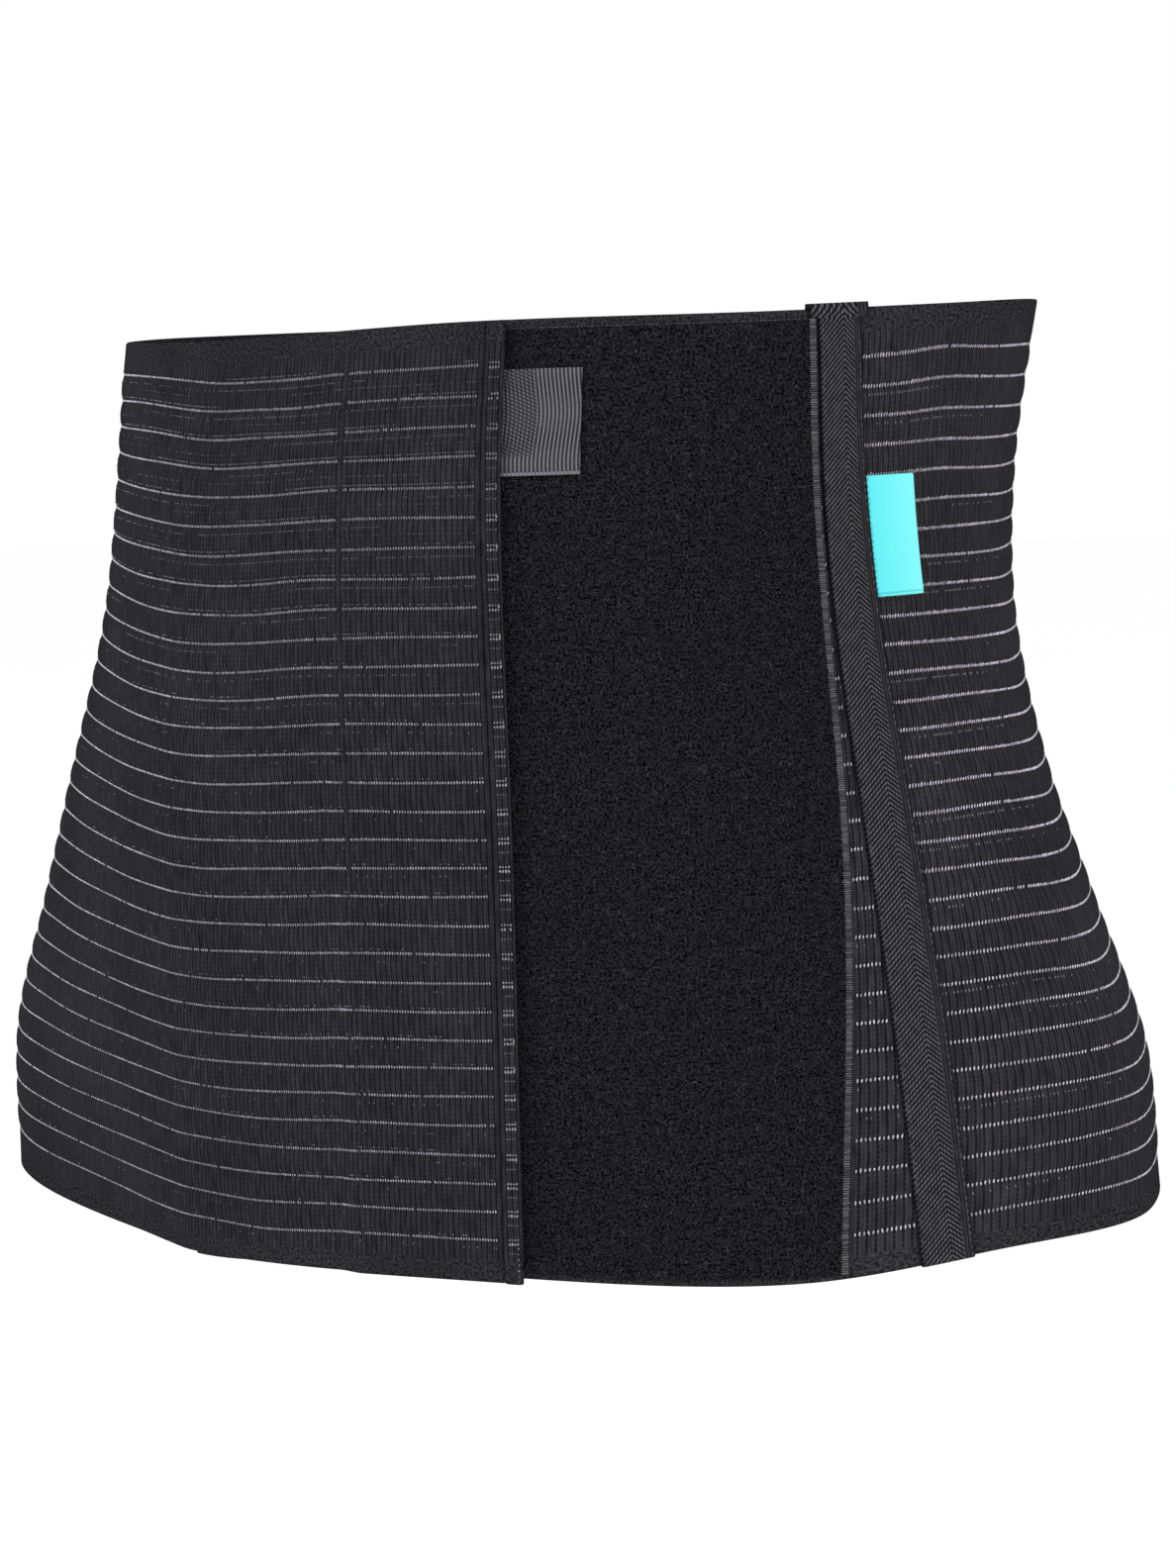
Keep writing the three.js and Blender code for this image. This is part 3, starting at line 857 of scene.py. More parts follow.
recipe = Recipe("fleece_fibre")
shown = recipe.tint()
clumps = (recipe.noise(recipe.spot(), 350.0, 3.0) * 2.6 - 0.75).clamped()
fibre_material = recipe.finish(recipe.blend(shown * clumps, grey(6), grey(88)), 0.9)

recipe = Recipe("hook_tape")
x, y = recipe.cloth()
hooks = x.ridge() * y.ridge()
hook_material = recipe.finish(recipe.blend(hooks, grey(20), grey(46)), 0.7, recipe.bump(hooks, 0.0005))

recipe = Recipe("grey_webbing")
rib, y = recipe.cloth()
bend = recipe.node("ShaderNodeMath", {"operation": "SINE"}, {0: y * 0.24 + 0.6})
rib = rib + bend * 0.5
ridge = rib.ridge()
dots = ((y * 0.95 + rib * 0.5).ridge() * ridge * 1.5).clamped()
mesh_side = (TAB_RIBS * 0.55 - rib).clamped() * ((y - 4.5) * 0.5).clamped()
fine = recipe.noise(recipe.join(rib * 1.6, y * 2.4), 1.0, 3.0)
weave = ridge * ridge * 1.15 + mesh_side * (dots * 0.6 - ridge * ridge * 1.15)
fringe = y.below(0.9)
shade = weave * (0.2 + 1.35 * fine) + fringe * (0.75 - weave)
color = recipe.blend(shade.clamped(), grey(28), grey(130))
tab_material = recipe.finish(color, 0.75, recipe.bump(weave, 0.0003, 0.8), 0.1)
print("materials so far", len(bpy.data.materials))

# %% [markdown]
# The tape's chevrons are slanting lines that change side at a spine, broken into short dashes. The
# label is a plain satin with painted light: a little paler at its lit right, deeper teal at its shaded
# left, and a painted crease shade along the fold near its foot.

# %% Tape and label materials
SPINE = 1.0
FOLD_START = 4.2
TAPE_EDGE = 7.4
# Painted light: the label is a shaded, deeper teal at its left and a lit, paler teal at its right.
LABEL_SHADED_LEFT = (0.075, 0.66, 0.7, 1.0)
LABEL_LIT_RIGHT = (0.205, 0.785, 0.8, 1.0)
# Colour of the painted crease shade along the label's bottom fold.
LABEL_FOLD_SHADE = (0.01, 0.28, 0.29, 1.0)
recipe = Recipe("herringbone_tape")
x, y = recipe.cloth()
from_spine = (x - SPINE).absolute()
arm = (y * 0.66 + from_spine * 0.6).ridge()
dots = (x * 1.0).ridge()
fold = ((x - FOLD_START) * 1.2).clamped()
arms = arm * arm * (0.2 + 0.8 * dots) * 1.5
lines = (x * 1.1).ridge() * 0.3
wear = recipe.noise(recipe.join(x * 0.5, y * 0.3), 1.0, 3.0)
weave = arms + fold * (lines - arms)
shade = (weave * (0.1 + 1.8 * wear)) * (1.0 - 0.6 * x.absolute().above(TAPE_EDGE))
color = recipe.blend(shade.clamped(), grey(14), grey(98))
tape_material = recipe.finish(color, 0.8, recipe.bump(weave, 0.0003, 0.8))

recipe = Recipe("teal_label")
x, y = recipe.cloth()
satin = (x * 2.2).ridge() * 0.5 + (y * 2.2).ridge() * 0.5
across = (x * (1.0 / LABEL_WIDTH) * 0.75 + satin * 0.25).clamped()
# Painted light: the satin's colour runs from the shaded left to the lit right.
satin_and_painted_light = recipe.blend(across, LABEL_SHADED_LEFT, LABEL_LIT_RIGHT)
# Painted crease shade: a darker band 0.8 to 1.3 mm above the label's foot, along its fold.
seam = y.above(0.8) * y.below(1.3)
color = recipe.blend(seam * 0.45, satin_and_painted_light, LABEL_FOLD_SHADE)
label_material = recipe.finish(color, 0.55, recipe.bump(satin, 0.0001, 0.5), 0.15)
print("tape spine", SPINE, "mm right of its middle")

# %% [markdown]
# Threads are one pale material and one dark material. Each stitch carries a tint of its own.

# %% Thread materials
recipe = Recipe("pale_thread")
pale_material = recipe.finish(recipe.blend(recipe.tint(), grey(50), grey(215, 0.01)), 0.7)

recipe = Recipe("dark_thread")
dark_material = recipe.finish(recipe.blend(recipe.tint(), grey(20), grey(110)), 0.7)
print("materials", len(bpy.data.materials))

# %% [markdown]
# ## Stitches by Geometry Nodes
#
# Every stitch is an instance of one small ridge. A point cloud says where each goes and how it is
# turned, sized and tinted, and one node tree puts the ridges there, wobbles them a little and
# makes them real.

# %% Ridge and fibre shapes
def shape(name, points, faces):
    mesh = bpy.data.meshes.new(name)
    mesh.from_pydata(points, [], faces)
    mesh.shade_smooth()
    return bpy.data.objects.new(name, mesh)


ridge_points = [
    (-0.5, -0.3, 0.0),
    (0.0, -0.32, 0.8),
    (0.5, -0.3, 0.0),
    (-0.5, 0.3, 0.0),
    (0.0, 0.32, 0.8),
    (0.5, 0.3, 0.0),
    (0.0, -0.5, 0.15),
    (0.0, 0.5, 0.15),
]
ridge_faces = [(0, 1, 4, 3), (1, 2, 5, 4), (6, 1, 0), (6, 2, 1), (7, 3, 4), (7, 4, 5)]
stitch_shape = shape("stitch_shape", ridge_points, ridge_faces)

# Columns: y, z, half width, lean
FIBRE_ROWS = [
    (0.0, 0.0, 0.05, 0.0),
    (0.35, 0.22, 0.045, 0.05),
    (0.7, 0.3, 0.035, 0.02),
    (1.0, 0.22, 0.015, -0.08),
]
fibre_points = []
for y, z, half_width, lean in FIBRE_ROWS:
    fibre_points += [(lean - half_width, y, z), (lean + half_width, y, z)]
fibre_faces = [(2 * i, 2 * i + 1, 2 * i + 3, 2 * i + 2) for i in range(3)]
fibre_shape = shape("fibre_shape", fibre_points, fibre_faces)
print("stitch faces", len(ridge_faces), "fibre faces", len(fibre_faces))


# %% [markdown]
# Both trees are built here. Their named inputs are the shape, the wobble, the seed and the
# material.

# %% Node trees for stitches and fibres
def new_tree(name, sockets):
    """Tree with a geometry input, the named inputs and a geometry output; also its two end nodes."""
    tree = bpy.data.node_groups.new(name, "GeometryNodeTree")
    tree.interface.new_socket("Geometry", in_out="INPUT", socket_type="NodeSocketGeometry")
    for title, kind in sockets:
        tree.interface.new_socket(title, in_out="INPUT", socket_type=kind)
    tree.interface.new_socket("Geometry", in_out="OUTPUT", socket_type="NodeSocketGeometry")
    return tree, tree.nodes.new("NodeGroupInput"), tree.nodes.new("NodeGroupOutput")


SHARED_SOCKETS = [
    ("Shape", "NodeSocketObject"),
    ("Wobble", "NodeSocketFloat"),
    ("Seed", "NodeSocketInt"),
    ("Material", "NodeSocketMaterial"),
]
FIBRE_SOCKETS = [("Density", "NodeSocketFloat"), ("Length", "NodeSocketFloat")]
FIBRE_LEAN = 0.35


def random_vector(tree, given, low, high):
    inputs = {"Min": low, "Max": high, "Seed": given.outputs["Seed"]}
    node = add_node(tree, "FunctionNodeRandomValue", {"data_type": "FLOAT_VECTOR"}, inputs)
    return node.outputs["Value"]


def random_number(tree, low, high, seed):
    inputs = {2: low, 3: high, "Seed": seed}
    return add_node(tree, "FunctionNodeRandomValue", {"data_type": "FLOAT"}, inputs).outputs[1]


def stored_vector(tree, name):
    settings = {"data_type": "FLOAT_VECTOR"}
    node = add_node(tree, "GeometryNodeInputNamedAttribute", settings, {"Name": name})
    return node.outputs["Attribute"]


def as_rotation(tree, angles):
    return add_node(tree, "FunctionNodeEulerToRotation", {}, {0: angles}).outputs[0]


def turned(tree, rotation, angles):
    """Rotation turned further, in its own frame, by a vector of angles."""
    inputs = {0: rotation, 1: as_rotation(tree, angles)}
    node = add_node(tree, "FunctionNodeRotateRotation", {"rotation_space": "LOCAL"}, inputs)
    return node.outputs[0]


def wobbled(tree, given, rotation):
    """Rotation turned by a random vector of at most the Wobble input."""
    inputs = {0: random_vector(tree, given, (-1, -1, -1), (1, 1, 1)), "Scale": given.outputs["Wobble"]}
    scaled = add_node(tree, "ShaderNodeVectorMath", {"operation": "SCALE"}, inputs)
    return turned(tree, rotation, scaled.outputs[0])


def place_shapes(tree, given, result, points, rotation, scale):
    """Puts the Shape input on every point, makes it real and gives it the Material input."""
    info = add_node(tree, "GeometryNodeObjectInfo", {}, {"Object": given.outputs["Shape"]})
    inputs = {
        "Points": points,
        "Instance": info.outputs["Geometry"],
        "Rotation": rotation,
        "Scale": scale,
    }
    instances = add_node(tree, "GeometryNodeInstanceOnPoints", {}, inputs)
    real = add_node(tree, "GeometryNodeRealizeInstances", {}, {"Geometry": instances.outputs[0]})
    inputs = {"Geometry": real.outputs[0], "Material": given.outputs["Material"]}
    painted = add_node(tree, "GeometryNodeSetMaterial", {}, inputs)
    tree.links.new(painted.outputs[0], result.inputs[0])


stitch_tree, given, result = new_tree("stitches", SHARED_SOCKETS)
cloud = add_node(stitch_tree, "GeometryNodeMeshToPoints", {}, {"Mesh": given.outputs["Geometry"]})
first_turn = as_rotation(stitch_tree, stored_vector(stitch_tree, "turn"))
final_turn = wobbled(stitch_tree, given, first_turn)
size = stored_vector(stitch_tree, "size")
place_shapes(stitch_tree, given, result, cloud.outputs[0], final_turn, size)

fibre_tree, given, result = new_tree("fibres", SHARED_SOCKETS + FIBRE_SOCKETS)
inputs = {
    "Mesh": given.outputs["Geometry"],
    "Density": given.outputs["Density"],
    "Seed": given.outputs["Seed"],
}
settings = {"distribute_method": "RANDOM"}
cloud = add_node(fibre_tree, "GeometryNodeDistributePointsOnFaces", settings, inputs)
lowest = (-FIBRE_LEAN, -FIBRE_LEAN, 0.0)
highest = (FIBRE_LEAN, FIBRE_LEAN, 2 * math.pi)
spin = random_vector(fibre_tree, given, lowest, highest)
upright = turned(fibre_tree, cloud.outputs["Rotation"], spin)
final_turn = wobbled(fibre_tree, given, upright)
inputs = {0: random_number(fibre_tree, 0.6, 1.4, 11), 1: given.outputs["Length"]}
fibre_size = add_node(fibre_tree, "ShaderNodeMath", {"operation": "MULTIPLY"}, inputs)
tint = random_number(fibre_tree, 0.0, 1.0, 5)
settings = {"data_type": "FLOAT", "domain": "POINT"}
inputs = {"Geometry": cloud.outputs["Points"], "Name": "tint", "Value": tint}
tinted = add_node(fibre_tree, "GeometryNodeStoreNamedAttribute", settings, inputs)
place_shapes(fibre_tree, given, result, tinted.outputs[0], final_turn, fibre_size.outputs[0])
print("stitch tree nodes", len(stitch_tree.nodes), "fibre tree nodes", len(fibre_tree.nodes))


# %% [markdown]
# A carrier object holds the points while the tree runs. Its result is kept as a plain mesh, and
# the carrier and its modifier are thrown away.

# %% Running a tree
def run_tree(name, carrier, tree, values):
    """Plain object that a tree makes of a carrier, whose inputs are set by their names."""
    modifier = carrier.modifiers.new("grow", "NODES")
    modifier.node_group = tree
    for item in tree.interface.items_tree:
        if item.item_type == "SOCKET" and item.in_out == "INPUT" and item.name in values:
            modifier[item.identifier] = values[item.name]
    bpy.context.view_layer.update()
    depsgraph = bpy.context.evaluated_depsgraph_get()
    mesh = bpy.data.meshes.new_from_object(carrier.evaluated_get(depsgraph))
    mesh.name = name
    for spare in ("turn", "size"):
        if spare in mesh.attributes:
            mesh.attributes.remove(mesh.attributes[spare])
    points = carrier.data
    bpy.data.objects.remove(carrier)
    bpy.data.meshes.remove(points)
    triangles = sum(len(face.vertices) - 2 for face in mesh.polygons)
    print(name, "triangles", triangles)
    return link(name, mesh)


def euler_angles(side, above, out):
    """XYZ Euler angles of the turns whose columns are side, above and out."""
    x = np.arctan2(above[:, 2], out[:, 2])
    y = np.arctan2(-side[:, 2], np.hypot(above[:, 2], out[:, 2]))
    z = np.arctan2(side[:, 1], side[:, 0])
    return np.stack([x, y, z], axis=-1)


def unit(vectors):
    return vectors / np.linalg.norm(vectors, axis=-1, keepdims=True)


def stitch_cloud(surface, along, up, lean=0.0):
    """Where stitches lie on surface(along, up), and how they are turned: y up the cloth, z out."""
    here = surface(along, up)
    side = unit(surface(along + 0.2, up) - here)
    above = surface(along, up + 0.2 / BAND_HEIGHT) - here
    out = unit(np.cross(side, above))
    above = np.cross(out, side)
    lean = np.broadcast_to(lean, along.shape)[:, None]
    leant_side = np.cos(lean) * side + np.sin(lean) * above
    leant_above = np.cos(lean) * above - np.sin(lean) * side
    return here * 0.001, euler_angles(leant_side, leant_above, out)


def stitches(name, cloud, sizes, tints, material, wobble, seed):
    """Ridges at a cloud of places; sizes are width, length and height in mm."""
    places, turns = cloud
    mesh = bpy.data.meshes.new(name + "_points")
    mesh.from_pydata(places.tolist(), [], [])
    size = np.broadcast_to(np.asarray(sizes, dtype=float) * 0.001, places.shape)
    tint = np.broadcast_to(np.asarray(tints, dtype=float), len(places))
    mesh.attributes.new("turn", "FLOAT_VECTOR", "POINT").data.foreach_set("vector", turns.ravel())
    mesh.attributes.new("size", "FLOAT_VECTOR", "POINT").data.foreach_set("vector", size.ravel())
    mesh.attributes.new("tint", "FLOAT", "POINT").data.foreach_set("value", tint.copy())
    values = {"Shape": stitch_shape, "Wobble": wobble, "Seed": seed, "Material": material}
    return run_tree(name, link(name + "_carrier", mesh), stitch_tree, values)


# %% [markdown]
# The pale stripes are rows of short upright dashes, two to each wale. At the front they stand
# apart and fainter rows run beside them; at the sides they shrink to a fine line, painted
# brighter there as sheen. The hook strip's seam interrupts the lower stripes.

# %% Brightness and places of the dashes
DASHES_PER_WALE = 2
DASH_WIDTH = 0.5
DASH_DEPTH = 0.4
OPEN_TALL = 0.45
SIDE_SHARE = 0.52
TAPE_CLEARANCE = 0.3
SEAM_WALE = WALE["hook_start"] + 0.6
SEAM_GAP = 0.5
SEAM_TOP_STRIPE = 18
# Shares of brightness lost on the flap, at the left and where the flap sags, and what the lower
# stripes win back; dimming the flap and the left is painted sheen, brightest towards the sides
FLAP_DIM = 0.56
FLAP_WIN = 0.22
LEFT_DIM = 0.2
LEFT_WIN = 0.35
SAG_DIM = 0.3
SAG_REACH = 24.0
rng = np.random.default_rng(20)


def frontness(wale):
    """1 at the front of the body, 0 at its sides and back."""
    left = 1 - smoothstep(wale, WALE["fleece_end"] + 8, WALE["fleece_end"] + 75)
    flap = smoothstep(wale, WALE["ramp_start"] - 15, WALE["hook_ramp"] + 10)
    return np.maximum(left, flap)


def painted_sheen_and_patches(wale, stripe):
    """Share of full brightness of a stripe's threads, with painted sheen: less on the flap and at the
    left front, so brightest towards the sides; less where the flap sags, and patchy.
    """
    flap = smoothstep(wale, WALE["ramp_start"] - 20, WALE["ramp_end"] + 15)
    sag = smoothstep(stripe, 14, 24) * np.exp(-(((wale - WALE["ramp_end"]) / SAG_REACH) ** 2))
    left = 1 - smoothstep(wale, WALE["fleece_end"] + 40, WALE["fleece_end"] + 90)
    low = smoothstep(stripe, 4, 16)
    patchy = 0.88 + 0.12 * np.sin(wale * 0.33 + stripe * 1.9) * np.sin(wale * 0.11 - stripe * 0.7)
    # Painted sheen: the flap and the left front are dimmed, so the threads are brightest towards the
    # sides.
    front = (1 - flap * (FLAP_DIM - FLAP_WIN * low)) * (1 - left * (LEFT_DIM - LEFT_WIN * low))
    return front * (1 - SAG_DIM * sag) * patchy


def dashes(first, last, offset, chance, length, tint):
    """Dashes of every stripe between two wales, offset mm above it: wale, up, length and tint."""
    first_dash = math.ceil(first * DASHES_PER_WALE)
    last_dash = math.floor(last * DASHES_PER_WALE)
    places = np.arange(first_dash, last_dash) / DASHES_PER_WALE + 0.25
    rows = []
    for stripe in range(STRIPES):
        kept = places[rng.random(len(places)) < chance(places, stripe)]
        if stripe < SEAM_TOP_STRIPE:
            kept = kept[np.abs(kept - SEAM_WALE) > SEAM_GAP]
        up = np.full(len(kept), round(stripe_up(stripe) + offset / BAND_HEIGHT, 6))
        rows.append((kept, up, painted_sheen_and_patches(kept, stripe)))
    wale, up, bright = [np.concatenate(column) for column in zip(*rows)]
    clear = ~under_tape(wale_length(wale, up), up, TAPE_CLEARANCE)
    wale, up, bright = wale[clear], up[clear], bright[clear]
    tall = 1 + OPEN_TALL * np.exp(-(((wale - WALE["fleece_end"] - 12) / 16) ** 2))
    wide = SIDE_SHARE + (1 - SIDE_SHARE) * frontness(wale)
    lengths = length * tall * wide * rng.uniform(0.75, 1.25, len(wale))
    tints = tint * bright * rng.uniform(0.6, 1.25, len(wale))
    return wale, up, lengths, tints


def sized(width, lengths, height):
    """Width, length and height of each stitch, where only the length varies."""
    count = len(lengths)
    return np.stack([np.full(count, width), lengths, np.full(count, height)], axis=-1)


def dash_piece(name, groups, lift, seed, lean=0.15):
    """One piece of all the dashes in the groups, lift mm above the elastic."""
    wale, up, lengths, tints = [np.concatenate(column) for column in zip(*groups)]
    leans = rng.uniform(-lean, lean, len(wale))
    cloud = stitch_cloud(lambda a, b: elastic_surface(a, b, lift), wale, up, leans)
    sizes = sized(DASH_WIDTH, lengths, DASH_DEPTH)
    return stitches(name, cloud, sizes, tints, pale_material, wobble=0.12, seed=seed)


print("dashes start at wale", round(WALE["fleece_end"], 1))


# %% [markdown]
# Each row has its own chance of a dash at every place. The main row is nearly full, and the
# fainter rows come and go.

# %% Stripe threads
def always(places, stripe):
    """Chance of a dash in the main row, which has no gap beside the fleece."""
    return np.where(places < WALE["fleece_end"] + 25, 1.01, 0.98)


def beside(places, stripe):
    """Chance of a dash in the fainter rows, which come and go in runs at the front."""
    wave = np.sin(places * 0.09 + stripe * 2.4) + np.sin(places * 0.031 - stripe * 1.3)
    runs = smoothstep(wave, -0.7, 0.4)
    near_tape = np.exp(-(((places - WALE["fleece_end"] - 18) / 14) ** 2)) * (stripe % 3 != 0)
    on_flap = np.exp(-(((places - WALE["hook_start"]) / 70) ** 2))
    upper = 1 - smoothstep(stripe, 6, 15)
    return 0.85 * runs * (near_tape + on_flap * (0.15 + 0.85 * upper))


def above(places, stripe):
    """Chance of a dash in the row just above, which nearly fills the flap's upper stripes."""
    return np.minimum(1.4 * beside(places, stripe + 3), 0.85)


def third(places, stripe):
    """Chance of a dash in the faintest row, well below the stripe."""
    return 0.6 * beside(places, stripe + 7) * (stripe < 7)


# For each row: mm above the stripe, its chance, length and tint
LEFT_ENDS = (WALE["fleece_end"] + 0.5, WALE["middle_back"])
RIGHT_ENDS = (WALE["middle_back"], WALE["hem_groove"])
left_groups = [
    dashes(*LEFT_ENDS, 0.0, always, 1.35, 0.72),
    dashes(*LEFT_ENDS, -2.2, beside, 0.6, 0.16),
]
threads_left = dash_piece("stripe_threads_left", left_groups, 0.06, 3)
right_groups = [
    dashes(*RIGHT_ENDS, 0.0, always, 1.3, 0.72),
    dashes(*RIGHT_ENDS, 1.35, above, 0.55, 0.24),
    dashes(*RIGHT_ENDS, -2.25, beside, 0.5, 0.2),
    dashes(*RIGHT_ENDS, -4.4, third, 0.5, 0.16),
]
threads_right = dash_piece("stripe_threads_right", right_groups, -0.05, 4)

# %% [markdown]
# The flap's hem is folded, so each stripe shows there as a bright bunch of two leaning rows. Small
# knots follow the hem's edge, and the hook strip's seam shows as a row of dark stitches.

# %% Hem, seam and edge stitches
# For each row in the hem: mm above the stripe, length and tint
HEM_ROWS = [(-0.7, 0.9, 0.62), (0.6, 0.7, 0.5), (-3.4, 0.5, 0.2)]
HEM_ENDS = (WALE["hem"] + 0.6, WALE["flap_end"] - 0.1)
hem_groups = [dashes(*HEM_ENDS, offset, always, length, tint) for offset, length, tint in HEM_ROWS]
hem_threads = dash_piece("hem_threads", hem_groups, 0.0, 5, 0.5)


def line_cloud(line, extra, out, up, lean=0.0, slipped=False):
    """Stitches at heights up on an upright line: mm past it, and at a fixed offset."""

    def surface(along, up):
        length = line_length(line, up) + extra + along
        rise = under_slip(up, length) if slipped else 0.0
        return on_form(up, length, out, rise)

    return stitch_cloud(surface, np.zeros(len(up)), up, lean)


def upright_run(pitch, low_edge=1.0, high_edge=1.0):
    """Heights at a pitch from near the bottom edge to near the top edge."""
    return np.arange(low_edge, BAND_HEIGHT - high_edge, pitch) / BAND_HEIGHT


flap_top = flap_on_hook + ELASTIC_THICKNESS
knot_up = upright_run(1.7)
knots = line_cloud("flap_end", -0.9, flap_top + 0.6, knot_up)
knot_tint = rng.uniform(0.0, 0.4, len(knot_up))
edge_knots = stitches(
    "flap_edge_knots", knots, (0.5, 0.7, 0.35), knot_tint, pale_material, wobble=0.2, seed=6
)

seam = line_cloud("flap_end", -HOOK_WIDTH + 1.0, flap_top + 0.3, upright_run(2.4))
hook_seam = stitches(
    "hook_seam", seam, (0.45, 1.7, 0.35), 0.2, dark_material, wobble=0.05, seed=7
)

# %% [markdown]
# An overlock stitch closes the fleece's upright edge, dark rows hold the tape, and a fine row runs
# along the fleece's top.

# %% Stitches of the fleece and the tape
FLEECE_TOP_STITCHES = 90
over_up = upright_run(0.66, FLEECE_MARGIN_BOTTOM, FLEECE_MARGIN_TOP)
over = line_cloud("fleece_end", -0.3, fleece_top - 0.2, over_up, math.pi / 2, slipped=True)
over_size = sized(0.46, rng.uniform(2.2, 2.7, len(over_up)), 0.5)
over_tint = rng.uniform(0.04, 0.2, len(over_up))
overlock = stitches(
    "fleece_overlock", over, over_size, over_tint, pale_material, wobble=0.05, seed=8
)

tape_rows = []
for line, extra in (("tape_start", 0.9), ("tape_end", -0.9)):
    tape_stitch_up = upright_run(2.1, 1.0, TAPE_CAP_HEIGHT + 1.0)
    tape_rows.append(line_cloud(line, extra, far - 0.1, tape_stitch_up))
tape_cloud = [np.concatenate(column) for column in zip(*tape_rows)]
tape_tint = rng.uniform(0.1, 0.6, len(tape_cloud[0]))
tape_stitches = stitches(
    "tape_stitches", tape_cloud, (0.4, 1.5, 0.35), tape_tint, dark_material, wobble=0.06, seed=9
)

top_up = np.full(FLEECE_TOP_STITCHES, 1 - (FLEECE_MARGIN_TOP - 0.3) / BAND_HEIGHT)
top_cloud = stitch_cloud(
    lambda along, up: on_form(up, line_length("flap_end", up) + along, 0.75),
    np.linspace(0.5, 92, FLEECE_TOP_STITCHES),
    top_up,
    math.pi / 2,
)
top_tint = rng.uniform(0.0, 0.14, FLEECE_TOP_STITCHES)
top_seam = stitches(
    "fleece_top_seam", top_cloud, (0.28, 0.85, 0.3), top_tint, pale_material, wobble=0.1, seed=10
)

# %% [markdown]
# The fleece's pile grows from the part of its face that shows. The grown face is a helper mesh,
# and only its fibres are kept.

# %% Fleece pile
PILE_INSET = 0.3
PILE_DENSITY = 1.05e6
PILE_LENGTH = 0.0013
pile_bottom = FLEECE_MARGIN_BOTTOM + PILE_INSET
pile_top = BAND_HEIGHT - FLEECE_MARGIN_TOP - PILE_INSET
pile_levels = np.linspace(pile_bottom, pile_top, 97) / BAND_HEIGHT
share_grid, up_grid = grid(np.linspace(0, 1, 41), pile_levels)
pile_length = between_lines("flap_end", -3.0, "fleece_end", -0.6, share_grid, up_grid)
pile_points = on_form(up_grid, pile_length, fleece_top - 0.25, under_slip(up_grid, pile_length)) * 0.001
columns = share_grid.shape[1]
pile_faces = []
for r in range(share_grid.shape[0] - 1):
    for c in range(columns - 1):
        corner = r * columns + c
        pile_faces.append((corner, corner + 1, corner + columns + 1, corner + columns))
pile_mesh = bpy.data.meshes.new("pile_face")
pile_mesh.from_pydata(pile_points.reshape(-1, 3).tolist(), [], pile_faces)
pile_values = {
    "Shape": fibre_shape,
    "Wobble": 0.25,
    "Seed": 12,
    "Material": fibre_material,
    "Density": PILE_DENSITY,
    "Length": PILE_LENGTH,
}
pile = run_tree("fleece_pile", link("pile_carrier", pile_mesh), fibre_tree, pile_values)

# %% [markdown]
# ## Hand over to the frame
#
# Each cloth piece gets its material and rides the one body, and the plain solid it stands for is
# hidden. The threads, stitches and pile ride the body too.

cloths = [
    (elastic, elastic_material, "elastic_wrap", "ribbed_elastic"),
    (fleece, fleece_material, "loop_panel", "black_fleece"),
    (hook, hook_material, "hook_strip", "hook_tape"),
    (tab, tab_material, "pull_tab", "grey_webbing"),
    (tape, tape_material, "stay_tape", "herringbone_tape"),
    (label, label_material, "side_label", "teal_label"),
]
for piece, material, node, slot in cloths:
    piece.data.materials.append(material)
    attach(piece, "root")
    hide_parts(node)
extras = [
    (threads_left, "ribbed_elastic"),
    (threads_right, "ribbed_elastic"),
    (hem_threads, "ribbed_elastic"),
    (edge_knots, "ribbed_elastic"),
    (hook_seam, "ribbed_elastic"),
    (overlock, "black_fleece"),
    (top_seam, "black_fleece"),
    (pile, "black_fleece"),
    (tape_stitches, "herringbone_tape"),
]
for piece, slot in extras:
    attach(piece, "root")

print("pieces", len(cloths) + len(extras))

# %% [markdown]
# ## Studio
#
# A pale floor far below, a white world and three large soft lights. Each light faces the middle of
# the binder.

# %% Floor and lights
FLOOR_REACH = 12.0
FLOOR_LEVEL = -0.75
WHITE = (1.0, 1.0, 1.0, 1.0)
recipe = Recipe("floor_paint")
floor_noise = recipe.noise(recipe.spot(), 3.0)
floor_color = recipe.blend(floor_noise, (0.985, 0.985, 0.985, 1.0), (0.99, 0.99, 0.99, 1.0))
floor_material = recipe.finish(floor_color, 0.9)
floor_corners = []
for x, y in ((-1, -1), (1, -1), (1, 1), (-1, 1)):
    floor_corners.append((x * FLOOR_REACH, y * FLOOR_REACH, FLOOR_LEVEL))
floor_mesh = bpy.data.meshes.new("floor")
floor_mesh.from_pydata(floor_corners, [], [(0, 1, 2, 3)])
floor_mesh.materials.append(floor_material)
floor = link("floor", floor_mesh)

world = bpy.data.worlds.new("studio")
world.use_nodes = True
background = world.node_tree.nodes["Background"]
background.inputs["Color"].default_value = WHITE
background.inputs["Strength"].default_value = 1.0
bpy.context.scene.world = world
bpy.context.scene.view_settings.view_transform = "Standard"


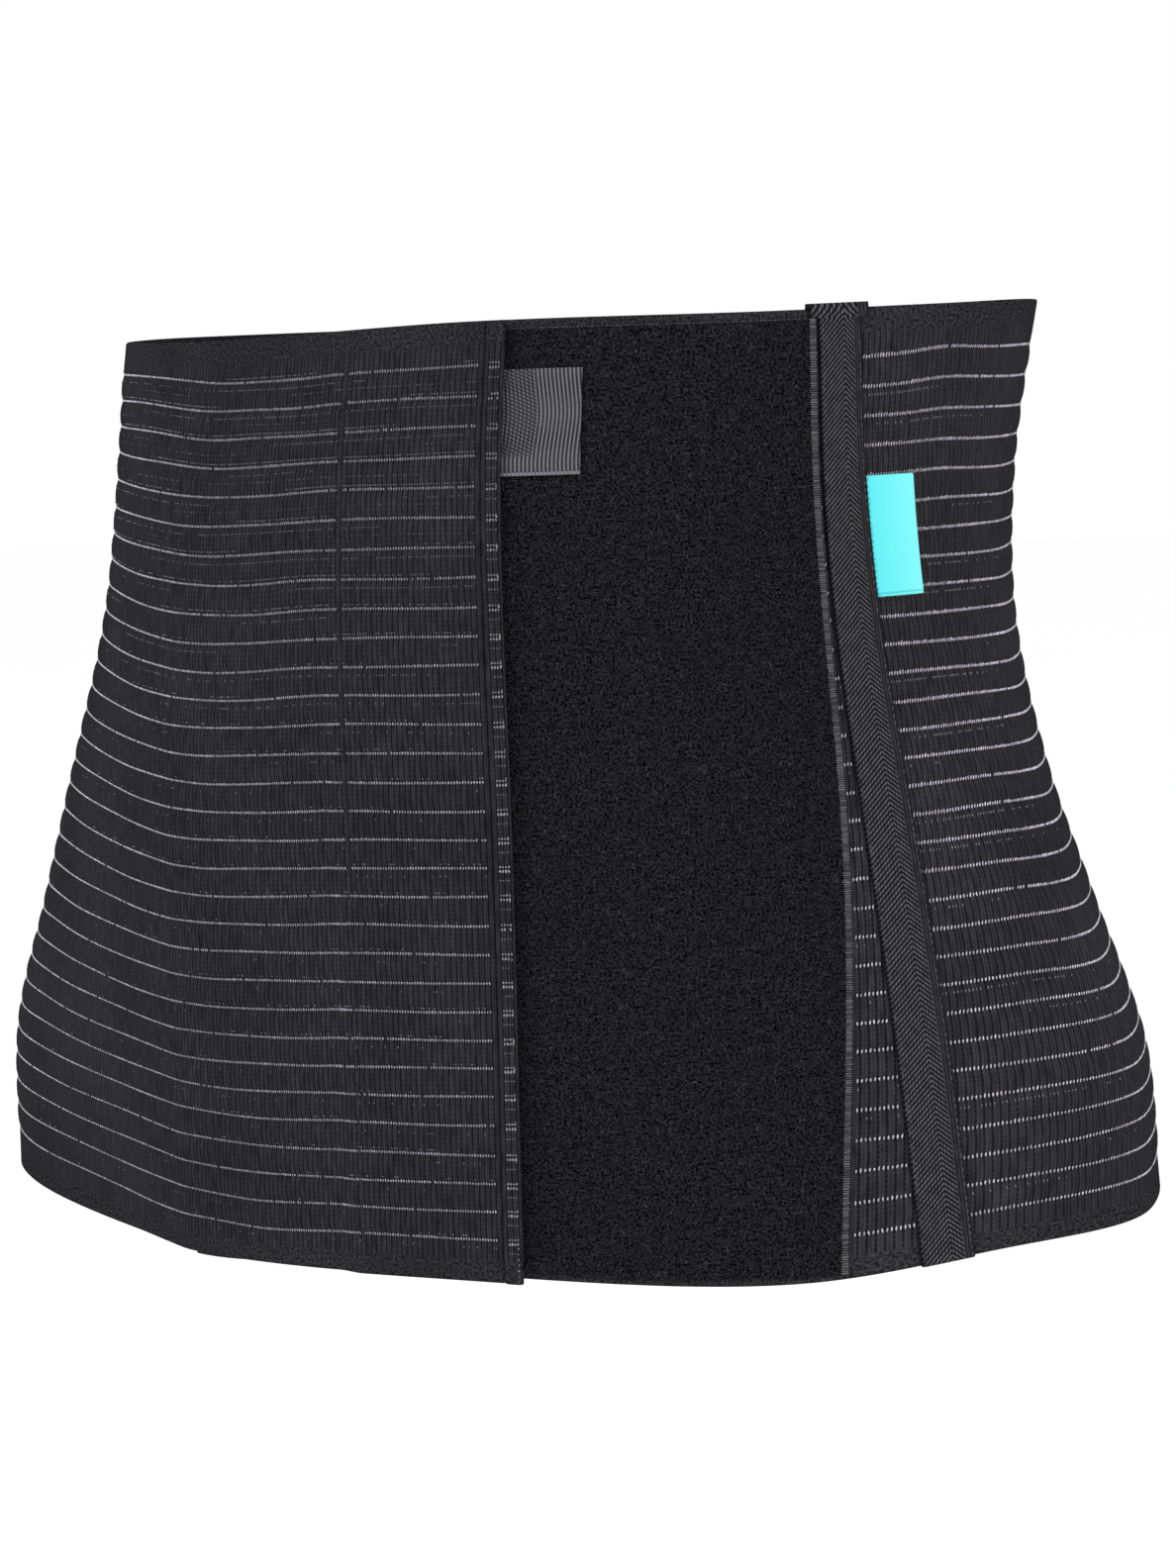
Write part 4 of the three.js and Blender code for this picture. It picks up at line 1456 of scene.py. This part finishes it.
def standing(side, above, back, location):
    """Matrix of an object at a place, whose own axes point along three unit vectors."""
    matrix = Matrix.Identity(4)
    for row in range(3):
        for column, vector in enumerate((side, above, back, location)):
            matrix[row][column] = vector[row]
    return matrix


def soft_light(name, location, size, power):
    """Square area light that faces the middle of the binder."""
    data = bpy.data.lights.new(name, "AREA")
    data.size = size
    data.energy = power
    away = np.array(location) / np.linalg.norm(location)
    side = np.cross([0.0, 0.0, 1.0], away)
    side /= np.linalg.norm(side)
    lamp = bpy.data.objects.new(name, data)
    lamp.matrix_world = standing(side, np.cross(away, side), away, location)
    bpy.context.scene.collection.objects.link(lamp)


soft_light("key_light", (-1.0, -2.0, 1.4), 1.6, 30.0)
soft_light("side_light", (1.9, -0.6, 0.8), 1.2, 8.0)
soft_light("back_light", (0.3, 1.8, 1.5), 1.2, 8.0)
print("lights", len(bpy.data.lights))

# %% [markdown]
# The camera stands where the photograph was taken from. Its place, angles and lens were found by
# fitting the band's outline.

# %% Camera
CAMERA_PLACE = (0.3718, -1.0012, 0.137)
YAW = math.radians(19.9)
PITCH = math.radians(7.85)
ROLL = math.radians(-2.0)
SENSOR_HEIGHT = 24.0
FOCAL_PIXELS = 3324.5
PHOTO_ROWS = 1584
camera_data = bpy.data.cameras.new("camera")
camera_data.sensor_fit = "VERTICAL"
camera_data.sensor_height = SENSOR_HEIGHT
camera_data.lens = SENSOR_HEIGHT * FOCAL_PIXELS / PHOTO_ROWS
right = np.array([math.cos(YAW), math.sin(YAW), 0.0])
level_ahead = np.array([-math.sin(YAW), math.cos(YAW), 0.0])
ahead = level_ahead * math.cos(PITCH) - np.array([0.0, 0.0, math.sin(PITCH)])
upward = np.cross(right, ahead)
rolled_right = math.cos(ROLL) * right + math.sin(ROLL) * upward
rolled_up = math.cos(ROLL) * upward - math.sin(ROLL) * right
camera = bpy.data.objects.new("camera", camera_data)
camera.matrix_world = standing(rolled_right, rolled_up, -ahead, CAMERA_PLACE)
bpy.context.scene.collection.objects.link(camera)
bpy.context.scene.camera = camera
print("camera lens", round(camera_data.lens, 2), "mm")
